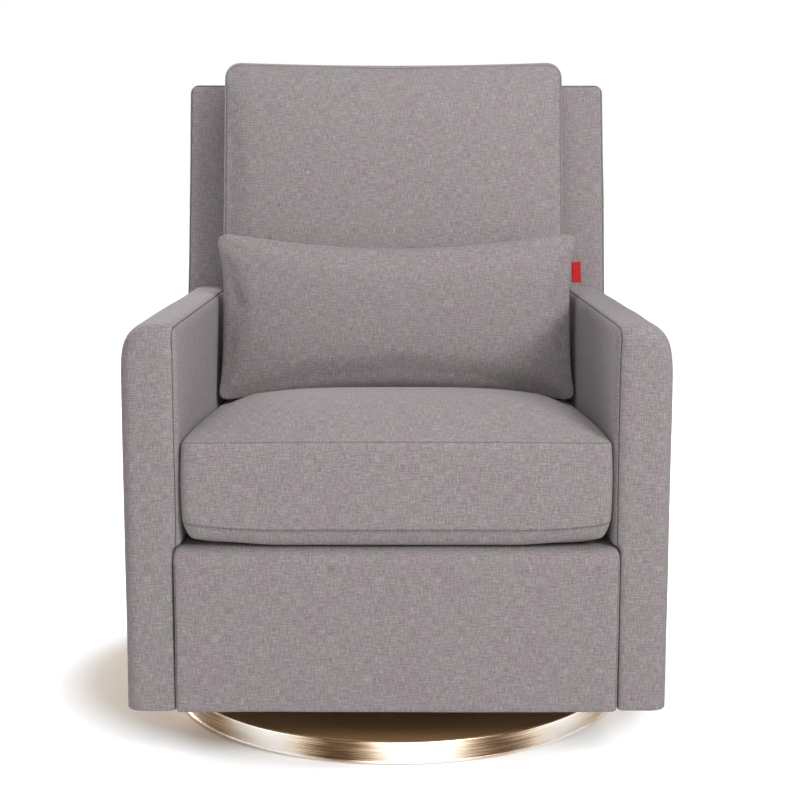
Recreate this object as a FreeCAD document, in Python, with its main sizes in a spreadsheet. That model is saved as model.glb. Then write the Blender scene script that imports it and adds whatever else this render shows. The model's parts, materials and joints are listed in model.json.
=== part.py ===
import FreeCAD, Part
import math
import os
import Sketcher

# Swivel rocker: an upholstered armchair that glides fore and aft on four swing links,
# on a turntable over a round metal base drum. Millimetres, +Z up, the seat faces -Y,
# and the origin lies on the floor in the swivel axis.

SIZES = {
    # whole chair
    "overall_width": 750,  # over both arms
    "front_reach": 375,  # swivel axis to the arms' front faces
    "skirt_gap": 88,  # floor to the lower edge of the upholstery
    "pad": 14,  # foam and cover over the wooden frame
    "seat_gap": 0.3,  # between soft pieces that rest on each other
    # arms
    "arm_top": 633,
    "arm_width": 76,
    "arm_inner_bulge": 11,  # inner padding above the deck
    "arm_outer_round": 34,
    "arm_inner_round": 14,
    "arm_front_round": 20,
    "edge_round": 7,
    # back
    "back_front": 300,  # swivel axis to the upright part of the back's front face
    "back_depth": 85,
    "knee_height": 450,  # where the back starts to lean
    "recline": 13.6,  # degrees
    "back_top": 991,
    "back_corner_round": 14,
    # front border and seat deck
    "border_proud": 5,  # front border stands out past the arms
    "border_pad": 30,
    "border_lip": 10,
    "border_round": 20,
    "deck_rise": 50,  # front of the deck over the slats
    "deck_pitch": 3,  # degrees, lower at the back
    "deck_thickness": 3,
    "spring_wire": 3.8,
    "spring_width": 50,
    "spring_margin": 62,  # from the outer springs' middles to the side rails
    "spring_count": 5,
    "spring_bend": 12.5,
    "clip_length": 12,
    "clip_width": 18,
    "clip_height": 10,
    # wooden frame
    "rail_thickness": 24,
    "board_thickness": 18,
    "frame_bottom": 215,
    "slat_bottom": 246,
    "slat_thickness": 26,
    "slat_width": 70,
    "slat_spread": 120,  # from the swivel axis to each slat's middle
    "block_side": 60,
    "block_height": 30,
    "arm_post": 45,
    "arm_board": 15,
    "back_post": 30,
    "back_rail_height": 60,
    "web_width": 60,
    "web_thickness": 2,
    "web_count": 4,
    "web_spacing": 95,
    "web_first": 90,
    # cushions
    "cushion_wrap": 20,
    "seat_side_gap": 4,  # from the seat cushion's sides to the arms
    "cushion_clearance": 1.2,  # round a crowned cushion, whose faces swell a little
    "seat_cushion_side": 150,
    "seat_crown": 52,
    "seat_front_proud": 10,
    "back_side_gap": 9,
    "back_cushion_sink": 8,  # below the seat cushion's top seam
    "back_cushion_height": 560,
    "back_cushion_thickness": 150,
    "back_cushion_side": 112,
    "lumbar_overhang": 3,  # its upper corners reach over the arms
    "lumbar_height": 267,
    "lumbar_thickness": 104,
    "lumbar_lift": 7,  # over the seat cushion's top seam
    "lumbar_edge": 12,
    "lumbar_rise": 14,  # how far its lower edge draws in between the corners
    "lumbar_dip": 27,  # and its upper edge
    "lumbar_scoop": 1140,
    "lumbar_waist": 0.38,  # share of height where its ends are drawn in most
    "tab_length": 36,
    "tab_width": 13,
    "tab_thickness": 1.4,
    "tab_rise": 196,  # from the pillow's lower edge to the tab's middle
    # base drum
    "base_radius": 351,
    "base_lip": 2,
    "base_height": 35,
    "cover_wall": 2,
    "floor_pad": 3,
    "floor_pad_inset": 10,
    "base_plate": 6,
    "hub_radius": 112,
    "hub_bore": 48,
    "cover_hole": 46,
    # swivel bearing
    "race_thickness": 8,
    "race_radius": 115,
    "race_bore": 50,
    "race_gap": 4,
    "ball_radius": 5,
    "ball_track": 99,
    "ball_clearance": 0.15,
    "ball_count": 20,
    "cage_thickness": 1.6,
    "cage_width": 17,
    "bolt_circle": 77,
    "bolt_count": 6,
    "bolt_radius": 4,
    "bolt_head": 6.5,
    "bolt_head_height": 4,
    "king_pin_radius": 8,
    "king_flange": 40,
    "king_flange_height": 4,
    "king_nut_radius": 13,
    "king_nut_height": 10,
    "washer_radius": 20,
    "washer_height": 2.5,
    "run_clearance": 0.06,
    # turntable and towers
    "turntable_depth": 180,
    "sheet": 4,
    "turntable_sheet": 5,
    "tower_out": 150,  # swivel axis to the towers' outer faces
    "tower_stem": 65,
    "tower_beam": 168,
    "tower_beam_drop": 34,
    "tower_haunch": 14,
    "tower_foot": 38,
    "tower_margin": 15,
    "tie_radius": 10,
    "tie_spread": 95,
    "foot_bolt_spread": 40,
    # swing links
    "pivot_spread": 150,  # swivel axis to the pivots, fore and aft
    "lower_pivot": 108,
    "link_length": 115,
    "link_thickness": 6,
    "link_boss": 13,
    "link_offset": 3,
    "link_limit": 30,  # degrees
    "bearing_radius": 9,
    "bearing_flange": 11,
    "bearing_flange_height": 1.2,
    "pin_radius": 6,
    "pin_head": 9,
    "pin_head_height": 3,
    "pin_nut": 9.5,
    "pin_nut_height": 5,
    "stop_gap": 0.5,
    "stop_height": 22,
    "stop_width": 11,
    "stop_seat": 20,
    # seat carriers
    "carrier_offset": 16,  # tower face to carrier plate
    "carrier_reach": 168,
    "carrier_drop": 18,
    "carrier_shoulder": 150,
    "carrier_top_reach": 158,
    "carrier_flange": 40,
    "carrier_bolt_in": 22,
    "carrier_bolt_spread": 18,
    "carrier_bolt_length": 24,
    "carrier_bar": 20,
    "carrier_bar_reach": 162,
}

doc = FreeCAD.newDocument("swivel_rocker")
sheet = doc.addObject("Spreadsheet::Sheet", "Sizes")
parts = []


class Dim:
    """A size with the sheet expression that gives it, so that a formula is written once."""

    def __init__(self, text, value):
        self.text = text
        self.value = float(value)

    def _join(self, other, sign, value, swap=False):
        other = dim(other)
        a, b = (other, self) if swap else (self, other)
        return Dim(f"({a.text} {sign} {b.text})", value(a.value, b.value))

    def __add__(self, other):
        return self._join(other, "+", lambda a, b: a + b)

    def __radd__(self, other):
        return self._join(other, "+", lambda a, b: a + b, swap=True)

    def __sub__(self, other):
        return self._join(other, "-", lambda a, b: a - b)

    def __rsub__(self, other):
        return self._join(other, "-", lambda a, b: a - b, swap=True)

    def __mul__(self, other):
        return self._join(other, "*", lambda a, b: a * b)

    def __rmul__(self, other):
        return self._join(other, "*", lambda a, b: a * b, swap=True)

    def __truediv__(self, other):
        return self._join(other, "/", lambda a, b: a / b)

    def __neg__(self):
        return Dim(f"(0 - {self.text})", -self.value)


def dim(x):
    return x if isinstance(x, Dim) else Dim(f"({float(x)!r})", x)


def sine(angle):
    return Dim(f"sin({angle.text})", math.sin(math.radians(angle.value)))


def cosine(angle):
    return Dim(f"cos({angle.text})", math.cos(math.radians(angle.value)))


def tangent(angle):
    return Dim(f"tan({angle.text})", math.tan(math.radians(angle.value)))


class Sizes:
    """The sheet's cells as Dims, by name."""

    def __init__(self, table):
        for row, (name, number) in enumerate(table.items(), start=1):
            sheet.set(f"A{row}", name)
            sheet.set(f"B{row}", str(number))
            sheet.setAlias(f"B{row}", name)
        doc.recompute()
        for name in table:
            setattr(self, name, Dim(f"Sizes.{name}", sheet.get(name)))


s = Sizes(SIZES)

# levels and faces that several pieces share
half_width = s.overall_width / 2
arm_inner = half_width - s.arm_width
frame_side = arm_inner + s.arm_inner_bulge
cover_bottom = s.floor_pad
plate_top = s.floor_pad + s.base_plate
cover_top = s.base_height
lower_race_top = cover_top + s.race_thickness
ball_level = lower_race_top + s.race_gap / 2
upper_race_bottom = lower_race_top + s.race_gap
turntable_bottom = upper_race_bottom + s.race_thickness
turntable_top = turntable_bottom + s.turntable_sheet
upper_pivot = s.lower_pivot + s.link_length
link_in = s.tower_out + s.link_offset
link_out = link_in + s.link_thickness
carrier_in = s.tower_out + s.carrier_offset
carrier_out = carrier_in + s.sheet
deck_front = -s.front_reach + s.border_pad - s.border_proud + s.board_thickness
deck_front_height = s.slat_bottom + s.slat_thickness + s.deck_rise
seat_half_width = arm_inner - s.seat_side_gap
seat_seam_height = deck_front_height + s.seat_cushion_side
back_cushion_bottom = seat_seam_height - s.back_cushion_sink
lumbar_bottom = seat_seam_height + s.lumbar_lift
lumbar_half_width = arm_inner + s.lumbar_overhang


def deck_height(y):
    """Height of the seat deck's top at that Y."""
    return deck_front_height - (dim(y) - deck_front) * tangent(s.deck_pitch)


def back_face(z, setback=0):
    """Y of the leaning front face of the back at height z, set back by a square distance."""
    return (
        s.back_front
        + dim(setback) / cosine(s.recline)
        + (dim(z) - s.knee_height) * tangent(s.recline)
    )


def bind(obj, **properties):
    """Ties properties of a document object to the sheet."""
    for name, value in properties.items():
        obj.setExpression(name, dim(value).text)


def place(obj, x=0, y=0, z=0):
    """Ties an object's position to the sheet."""
    for axis, value in (("x", x), ("y", y), ("z", z)):
        if isinstance(value, Dim) or value:
            obj.setExpression(f"Placement.Base.{axis}", dim(value).text)


def keep(obj, label):
    """Counts an object as a sub-part under that name."""
    obj.Label = label
    parts.append(obj)
    return obj


def box(name, x, y, z):
    """A block between two faces on each axis: x, y and z are (low, high)."""
    block = doc.addObject("Part::Box", name)
    bind(block, Length=x[1] - x[0], Width=y[1] - y[0], Height=z[1] - z[0])
    place(block, x[0], y[0], z[0])
    return block


def cylinder(name, radius, height, x=0, y=0, z=0, along="Z"):
    """A round bar that starts at a point and runs along +Z or +X."""
    bar = doc.addObject("Part::Cylinder", name)
    bind(bar, Radius=radius, Height=height)
    if along == "X":
        bar.Placement = FreeCAD.Placement(
            FreeCAD.Vector(0, 0, 0), FreeCAD.Rotation(FreeCAD.Vector(0, 1, 0), 90)
        )
    place(bar, x, y, z)
    return bar


def fuse(name, pieces):
    joined = doc.addObject("Part::MultiFuse", name)
    joined.Shapes = pieces
    joined.Refine = True
    return joined


def cut(name, base, tools):
    """Base with each tool taken out of it."""
    tool = tools[0]
    if len(tools) > 1:
        tool = doc.addObject("Part::Compound", name + "_tools")
        tool.Links = tools
    result = doc.addObject("Part::Cut", name)
    result.Base = base
    result.Tool = tool
    return result


def group(label, pieces):
    """Several separate solids as one sub-part."""
    compound = doc.addObject("Part::Compound", label)
    compound.Links = pieces
    return keep(compound, label)


def mirror(label, source):
    """The same piece on the other side of the chair."""
    other = doc.addObject("Part::Mirroring", label)
    other.Source = source
    other.Normal = FreeCAD.Vector(1, 0, 0)
    return keep(other, label)


def origin_plane(body, role):
    for feature in body.Origin.OriginFeatures:
        if feature.Role == role:
            return feature


def polygon(body, role, points, circles=()):
    """A sketch on a body's own origin plane: a closed outline and round holes, tied to the sheet."""
    sketch = body.newObject("Sketcher::SketchObject", body.Name + "_outline")
    sketch.AttachmentSupport = [(origin_plane(body, role), "")]
    sketch.MapMode = "FlatFace"
    points = [(dim(u), dim(v)) for u, v in points]
    corners = [FreeCAD.Vector(u.value, v.value, 0) for u, v in points]
    count = len(points)
    for i in range(count):
        sketch.addGeometry(Part.LineSegment(corners[i], corners[(i + 1) % count]), False)
    for i in range(count):
        sketch.addConstraint(Sketcher.Constraint("Coincident", i, 2, (i + 1) % count, 1))
    for i, (u, v) in enumerate(points):
        tie_point(sketch, i, 1, u, v)
    for u, v, radius in circles:
        u, v, radius = dim(u), dim(v), dim(radius)
        centre = FreeCAD.Vector(u.value, v.value, 0)
        ring = sketch.addGeometry(Part.Circle(centre, FreeCAD.Vector(0, 0, 1), radius.value), False)
        at = sketch.addConstraint(Sketcher.Constraint("Radius", ring, radius.value))
        sketch.setExpression(f"Constraints[{at}]", radius.text)
        tie_point(sketch, ring, 3, u, v)
    return sketch


def tie_point(sketch, shape, vertex, u, v):
    for kind, value in (("DistanceX", u), ("DistanceY", v)):
        at = sketch.addConstraint(Sketcher.Constraint(kind, -1, 1, shape, vertex, value.value))
        sketch.setExpression(f"Constraints[{at}]", value.text)


def plate(name, role, points, start, thickness, circles=()):
    """A flat piece: an outline on an origin plane, padded from start to start plus thickness."""
    body = doc.addObject("PartDesign::Body", name)
    sketch = polygon(body, role, points, circles)
    pad = body.newObject("PartDesign::Pad", name + "_pad")
    pad.Profile = sketch
    bind(pad, Length=thickness)
    if role == "YZ_Plane":
        place(body, x=start)
    elif role == "XY_Plane":
        place(body, z=start)
    else:
        place(body, y=dim(start) + thickness)
    return body


def turned(name, points):
    """A round piece: an (r, z) outline turned about the swivel axis."""
    body = doc.addObject("PartDesign::Body", name)
    sketch = polygon(body, "XZ_Plane", points)
    turn = body.newObject("PartDesign::Revolution", name + "_turn")
    turn.Profile = sketch
    turn.ReferenceAxis = (sketch, ["V_Axis"])
    turn.Angle = 360
    return body


def round_edges(body, radius, wanted):
    """Rounds those edges of a body's last feature for which wanted(edge) holds."""
    doc.recompute()
    last = body.Tip
    names = [f"Edge{i}" for i, edge in enumerate(last.Shape.Edges, start=1) if wanted(edge)]
    fillet = body.newObject("PartDesign::Fillet", f"{body.Name}_round_{len(body.Group)}")
    fillet.Base = (last, names)
    bind(fillet, Radius=radius)
    body.Tip = fillet
    doc.recompute()
    return fillet


def near(a, b):
    return abs(a - b) < 1e-3


def ends_at(edge, axis, value):
    """Whether all of an edge lies at that coordinate."""
    points = [vertex.Point for vertex in edge.Vertexes]
    return all(near(getattr(p, axis), value) for p in points)


def ring_of(count, radius):
    """Points evenly spaced on a circle about the swivel axis, each as expressions."""
    for i in range(int(count.value)):
        angle = Dim(f"({float(i)!r} * 360 / {count.text})", i * 360 / count.value)
        yield radius * cosine(angle), radius * sine(angle)


def bolt(name, x, y, head_bottom, length, head_below=False):
    """A bolt along Z with its round head at one end."""
    head = cylinder(name + "_head", s.bolt_head, s.bolt_head_height, x, y, head_bottom)
    shank_start = head_bottom if head_below else head_bottom - length
    span = length + s.bolt_head_height
    shank = cylinder(name + "_shank", s.bolt_radius, span, x, y, shank_start)
    return fuse(name, [head, shank])


def base_drum():
    """Floor pad, ballast plate, drum cover, hub ring and the bolts through them."""
    outer = s.base_radius
    pad_edge = outer - s.floor_pad_inset
    pad = [(0, 0), (pad_edge, 0), (pad_edge, s.floor_pad), (0, s.floor_pad)]
    keep(turned("floor_pad", pad), "floor_pad")

    head_radius = s.bolt_head + s.run_clearance
    plate_edge = outer - s.cover_wall - s.seat_gap
    disc = turned(
        "ballast_disc",
        [(0, cover_bottom), (plate_edge, cover_bottom), (plate_edge, plate_top), (0, plate_top)],
    )
    holes = []
    for i, (x, y) in enumerate(ring_of(s.bolt_count, s.bolt_circle)):
        bore = s.bolt_radius + s.run_clearance
        holes.append(cylinder(f"ballast_hole_{i}", bore, s.base_plate, x, y, cover_bottom))
        holes.append(cylinder(f"ballast_sink_{i}", head_radius, s.bolt_head_height, x, y, cover_bottom))
    keep(cut("ballast_plate", disc, holes), "ballast_plate")

    lip = outer + s.base_lip
    wall = outer - s.cover_wall
    inside = s.base_height - s.cover_wall
    cover = turned(
        "cover_shell",
        [
            (wall, cover_bottom),
            (lip, cover_bottom),
            (lip, cover_bottom + s.base_lip),
            (outer, cover_bottom + s.base_lip),
            (outer, cover_top),
            (s.cover_hole, cover_top),
            (s.cover_hole, inside),
            (wall, inside),
        ],
    )
    top = cover_top.value
    rim = outer.value
    round_edges(
        cover,
        s.cover_wall * 1.5,
        lambda e: ends_at(e, "z", top) and near(e.BoundBox.XMax, rim),
    )
    holes = [
        cylinder(f"cover_hole_{i}", s.bolt_radius + s.run_clearance, s.cover_wall, x, y, inside)
        for i, (x, y) in enumerate(ring_of(s.bolt_count, s.bolt_circle))
    ]
    keep(cut("base_cover", cover, holes), "base_cover")

    hub = turned(
        "hub_blank",
        [(s.hub_bore, plate_top), (s.hub_radius, plate_top), (s.hub_radius, inside), (s.hub_bore, inside)],
    )
    holes = [
        cylinder(f"hub_hole_{i}", s.bolt_radius + s.run_clearance, inside - plate_top, x, y, plate_top)
        for i, (x, y) in enumerate(ring_of(s.bolt_count, s.bolt_circle))
    ]
    keep(cut("hub_ring", hub, holes), "hub_ring")

    depth = cover_top - cover_bottom - s.bolt_head_height + s.race_thickness / 2
    bolts = [
        bolt(f"hub_bolt_{i}", x, y, cover_bottom, depth, head_below=True)
        for i, (x, y) in enumerate(ring_of(s.bolt_count, s.bolt_circle))
    ]
    group("hub_bolts", bolts)


def race(name, bottom, top, groove_at, bolt_bottom, bolt_span):
    """One ring of the swivel bearing, with its ball groove and blind bolt holes."""
    ring = turned(
        name + "_ring",
        [(s.race_bore, bottom), (s.race_radius, bottom), (s.race_radius, top), (s.race_bore, top)],
    )
    groove = doc.addObject("Part::Torus", name + "_groove")
    bind(groove, Radius1=s.ball_track, Radius2=s.ball_radius + s.ball_clearance)
    place(groove, z=groove_at)
    holes = [
        cylinder(f"{name}_hole_{i}", s.bolt_radius + s.run_clearance, bolt_span, x, y, bolt_bottom)
        for i, (x, y) in enumerate(ring_of(s.bolt_count, s.bolt_circle))
    ]
    return keep(cut(name, ring, [groove, *holes]), name)


def swivel_bearing():
    """Two races, the balls in their cage, and the king pin that holds them together."""
    depth = s.race_thickness / 2 + s.run_clearance
    race("lower_race", cover_top, lower_race_top, ball_level, cover_top, depth)
    race("upper_race", upper_race_bottom, turntable_bottom, ball_level, turntable_bottom - depth, depth)

    balls = []
    windows = []
    for i, (x, y) in enumerate(ring_of(s.ball_count, s.ball_track)):
        ball = doc.addObject("Part::Sphere", f"ball_{i}")
        bind(ball, Radius=s.ball_radius)
        place(ball, x, y, ball_level)
        balls.append(ball)
        low = ball_level - s.cage_thickness / 2
        windows.append(
            cylinder(f"cage_window_{i}", s.ball_radius + s.ball_clearance, s.cage_thickness, x, y, low)
        )
    group("bearing_balls", balls)
    inner = s.ball_track - s.cage_width / 2
    outer = s.ball_track + s.cage_width / 2
    low = ball_level - s.cage_thickness / 2
    high = ball_level + s.cage_thickness / 2
    band = turned("cage_band", [(inner, low), (outer, low), (outer, high), (inner, high)])
    keep(cut("ball_cage", band, windows), "ball_cage")

    washer_bottom = turntable_top + s.seat_gap
    nut_bottom = washer_bottom + s.washer_height
    pin_top = nut_bottom + s.king_nut_height + s.washer_height
    flange = cylinder("king_flange_disc", s.king_flange, s.king_flange_height, z=plate_top)
    shaft = cylinder("king_shaft", s.king_pin_radius, pin_top - plate_top, z=plate_top)
    keep(fuse("king_pin", [flange, shaft]), "king_pin")
    nut = doc.addObject("Part::Prism", "nut_blank")
    nut.Polygon = 6
    bind(nut, Circumradius=s.king_nut_radius, Height=s.king_nut_height)
    place(nut, z=nut_bottom)
    washer = cylinder("nut_washer", s.washer_radius, s.washer_height, z=washer_bottom)
    blank = fuse("nut_and_washer", [nut, washer])
    bore = cylinder("nut_bore", s.king_pin_radius, pin_top, z=0)
    keep(cut("king_nut", blank, [bore]), "king_nut")


def turntable():
    """The plate on the upper race, its two T-shaped towers, their ties, bolts and stops."""
    reach = s.tower_out
    depth = s.turntable_depth / 2
    foot_middle = s.tower_out - s.tower_foot / 2
    hole = s.bolt_radius + s.run_clearance
    circles = [(0, 0, s.king_pin_radius + s.run_clearance)]
    circles += [(x, y, hole) for x, y in ring_of(s.bolt_count, s.bolt_circle)]
    circles += [
        (side * foot_middle, end * s.foot_bolt_spread, hole) for side in (-1, 1) for end in (-1, 1)
    ]
    keep(
        plate(
            "turntable_plate",
            "XY_Plane",
            [(-reach, -depth), (reach, -depth), (reach, depth), (-reach, depth)],
            turntable_bottom,
            s.turntable_sheet,
            circles,
        ),
        "turntable_plate",
    )
    bolts = [
        bolt(f"race_bolt_{i}", x, y, turntable_top, s.turntable_sheet + s.race_thickness / 2)
        for i, (x, y) in enumerate(ring_of(s.bolt_count, s.bolt_circle))
    ]
    group("race_bolts", bolts)

    beam_top = upper_pivot + s.tower_margin
    beam_low = beam_top - s.tower_beam_drop
    outline = [
        (-s.tower_stem, turntable_top),
        (s.tower_stem, turntable_top),
        (s.tower_stem, beam_low - s.tower_haunch),
        (s.tower_beam, beam_low),
        (s.tower_beam, beam_top),
        (-s.tower_beam, beam_top),
        (-s.tower_beam, beam_low),
        (-s.tower_stem, beam_low - s.tower_haunch),
    ]
    tie_level = upper_pivot - s.link_boss / 2
    holes = [(end * s.pivot_spread, upper_pivot, s.pin_radius) for end in (-1, 1)]
    foot_in = s.tower_out - s.tower_foot
    web = plate("tower_web", "YZ_Plane", outline, s.tower_out - s.sheet, s.sheet, holes)
    foot = box(
        "tower_foot_flange",
        (foot_in, s.tower_out),
        (-s.tower_stem, s.tower_stem),
        (turntable_top, turntable_top + s.sheet),
    )
    blank = fuse("tower_blank", [web, foot])
    drilled = [
        cylinder(f"tower_hole_{i}", hole, s.sheet, foot_middle, end * s.foot_bolt_spread, turntable_top)
        for i, end in enumerate((-1, 1))
    ]
    tower = keep(cut("tower_right", blank, drilled), "tower_right")
    mirror("tower_left", tower)

    inner = s.tower_out - s.sheet
    ties = [
        cylinder(f"tie_{i}", s.tie_radius, inner * 2, -inner, end * s.tie_spread, tie_level, along="X")
        for i, end in enumerate((-1, 1))
    ]
    group("tower_ties", ties)

    foot_bolts = []
    nut_gap = s.turntable_sheet + s.sheet
    for i, (side, end) in enumerate([(a, b) for a in (-1, 1) for b in (-1, 1)]):
        x = side * foot_middle
        y = end * s.foot_bolt_spread
        screw = bolt(f"foot_screw_{i}", x, y, turntable_top + s.sheet, nut_gap + s.bolt_head_height)
        nut_low = turntable_bottom - s.bolt_head_height
        nut = cylinder(f"foot_nut_{i}", s.bolt_head, s.bolt_head_height, x, y, nut_low)
        foot_bolts.append(fuse(f"foot_bolt_{i}", [screw, nut]))
    group("tower_bolts", foot_bolts)

    pins = []
    nut_in = s.tower_out - s.sheet - s.pin_nut_height
    head_in = link_out + s.bearing_flange_height + s.stop_gap
    for i, (side, end) in enumerate([(a, b) for a in (-1, 1) for b in (-1, 1)]):
        nut = (nut_in, s.pin_nut, s.pin_nut_height)
        head = (head_in, s.pin_head, s.pin_head_height)
        pins.append(pivot_pin(f"upper_pin_{i}", side, end, upper_pivot, *nut, *head))
    group("upper_pivot_pins", pins)

    swing = sine(s.link_limit) * s.link_length
    rise = s.link_length - cosine(s.link_limit) * s.link_length
    stop_face = s.pivot_spread - swing - s.link_boss - s.stop_gap
    stop_middle = s.lower_pivot + rise
    stops = []
    for i, (side, end) in enumerate([(a, b) for a in (-1, 1) for b in (-1, 1)]):
        x = (s.tower_out, s.tower_out + s.stop_width)
        y = (stop_face - s.stop_seat, stop_face)
        if side < 0:
            x = (-x[1], -x[0])
        if end < 0:
            y = (-y[1], -y[0])
        z = (stop_middle - s.stop_height / 2, stop_middle + s.stop_height / 2)
        stops.append(box(f"stop_{i}", x, y, z))
    group("glide_stops", stops)


def pivot_pin(name, side, end, level, a, a_radius, a_length, b, b_radius, b_length):
    """A pin along X with a disc at each end: the first at a, the second at b, both outwards."""
    start, stop = a, b + b_length
    pieces = []
    for part, low, length, radius in (
        ("shank", start, stop - start, s.pin_radius),
        ("inner", a, dim(a_length), a_radius),
        ("outer", b, dim(b_length), b_radius),
    ):
        x = low if side > 0 else -low - length
        pieces.append(cylinder(f"{name}_{part}", radius, length, x, end * s.pivot_spread, level, along="X"))
    return fuse(name, pieces)


def swing_links():
    """Four equal links with a flanged bearing pressed into each eye."""
    for end, row in ((-1, "front"), (1, "rear")):
        middle = end * s.pivot_spread
        boss = s.link_boss
        eyes = [(middle, s.lower_pivot, s.bearing_radius), (middle, upper_pivot, s.bearing_radius)]
        bearings = []
        for side, hand in ((-1, "left"), (1, "right")):
            start = link_in if side > 0 else -link_out
            name = f"{row}_link_{hand}"
            bar = plate(
                name + "_bar",
                "YZ_Plane",
                [
                    (middle - boss, s.lower_pivot),
                    (middle + boss, s.lower_pivot),
                    (middle + boss, upper_pivot),
                    (middle - boss, upper_pivot),
                ],
                start,
                s.link_thickness,
            )
            rounds = [
                cylinder(f"{name}_end_{i}", boss, s.link_thickness, start, middle, level, along="X")
                for i, level in enumerate((s.lower_pivot, upper_pivot))
            ]
            bores = [
                cylinder(f"{name}_eye_{i}", radius, s.link_thickness, start, y, level, along="X")
                for i, (y, level, radius) in enumerate(eyes)
            ]
            keep(cut(name, fuse(name + "_blank", [bar, *rounds]), bores), name)
            for i, level in enumerate((s.lower_pivot, upper_pivot)):
                flange_start = link_in - s.bearing_flange_height if side > 0 else -link_in
                sleeve_length = s.link_thickness + s.bearing_flange_height * 2
                sleeve_start = (
                    link_in - s.bearing_flange_height
                    if side > 0
                    else -link_out - s.bearing_flange_height
                )
                tag = f"{name}_bearing_{i}"
                rim = (s.bearing_flange, s.bearing_flange_height, flange_start, middle, level)
                flange = cylinder(tag + "_flange", *rim, along="X")
                run = (sleeve_length, sleeve_start, middle, level)
                sleeve = cylinder(tag + "_sleeve", s.bearing_radius, *run, along="X")
                bore = cylinder(tag + "_bore", s.pin_radius + s.run_clearance, *run, along="X")
                bearings.append(cut(tag, fuse(tag + "_blank", [flange, sleeve]), [bore]))
        group(f"{row}_link_bearings", bearings)


def carriers():
    """The plates that hang on the lower pivots and carry the seat frame."""
    bottom = s.lower_pivot - s.carrier_drop
    holes = [(end * s.pivot_spread, s.lower_pivot, s.pin_radius) for end in (-1, 1)]
    low = s.lower_pivot + s.carrier_drop
    outline = [
        (-s.carrier_reach, bottom),
        (s.carrier_reach, bottom),
        (s.carrier_reach, low),
        (s.carrier_top_reach, s.carrier_shoulder),
        (s.carrier_top_reach, s.slat_bottom),
        (-s.carrier_top_reach, s.slat_bottom),
        (-s.carrier_top_reach, s.carrier_shoulder),
        (-s.carrier_reach, low),
    ]
    web = plate("carrier_web", "YZ_Plane", outline, carrier_in, s.sheet, holes)
    flange = box(
        "carrier_flange_plate",
        (carrier_in, carrier_in + s.carrier_flange),
        (-s.carrier_top_reach, s.carrier_top_reach),
        (s.slat_bottom - s.sheet, s.slat_bottom),
    )
    hole = s.bolt_radius + s.run_clearance
    bolt_x = carrier_in + s.carrier_bolt_in
    spots = [
        (end * s.slat_spread + step * s.carrier_bolt_spread) for end in (-1, 1) for step in (-1, 1)
    ]
    drilled = [
        cylinder(f"carrier_hole_{i}", hole, s.sheet, bolt_x, y, s.slat_bottom - s.sheet)
        for i, y in enumerate(spots)
    ]
    carrier = keep(cut("carrier_right", fuse("carrier_blank", [web, flange]), drilled), "carrier_right")
    mirror("carrier_left", carrier)

    head_bottom = s.slat_bottom - s.sheet - s.bolt_head_height
    bolts = [
        bolt(f"carrier_bolt_{i}", side * bolt_x, y, head_bottom, s.carrier_bolt_length, head_below=True)
        for i, (side, y) in enumerate([(a, b) for a in (-1, 1) for b in spots])
    ]
    group("carrier_bolts", bolts)

    bars = []
    for i, end in enumerate((-1, 1)):
        y = (s.carrier_bar_reach - s.carrier_bar, s.carrier_bar_reach)
        if end < 0:
            y = (-y[1], -y[0])
        bars.append(box(f"bar_{i}", (-carrier_in, carrier_in), y, (bottom, bottom + s.sheet)))
    group("carrier_bars", bars)

    head_in = link_in - s.bearing_flange_height - s.stop_gap - s.pin_head_height
    pins = []
    for i, (side, end) in enumerate([(a, b) for a in (-1, 1) for b in (-1, 1)]):
        shoulder = link_out + s.bearing_flange_height + s.stop_gap
        pin = pivot_pin(
            f"lower_pin_{i}",
            side,
            end,
            s.lower_pivot,
            head_in,
            s.pin_head,
            s.pin_head_height,
            carrier_out,
            s.pin_nut,
            s.pin_nut_height,
        )
        length = carrier_in - shoulder
        x = shoulder if side > 0 else -carrier_in
        y = end * s.pivot_spread
        collar = cylinder(f"lower_collar_{i}", s.pin_head, length, x, y, s.lower_pivot, along="X")
        pins.append(fuse(f"lower_pin_whole_{i}", [pin, collar]))
    group("lower_pivot_pins", pins)
    return bolt_x, spots


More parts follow.
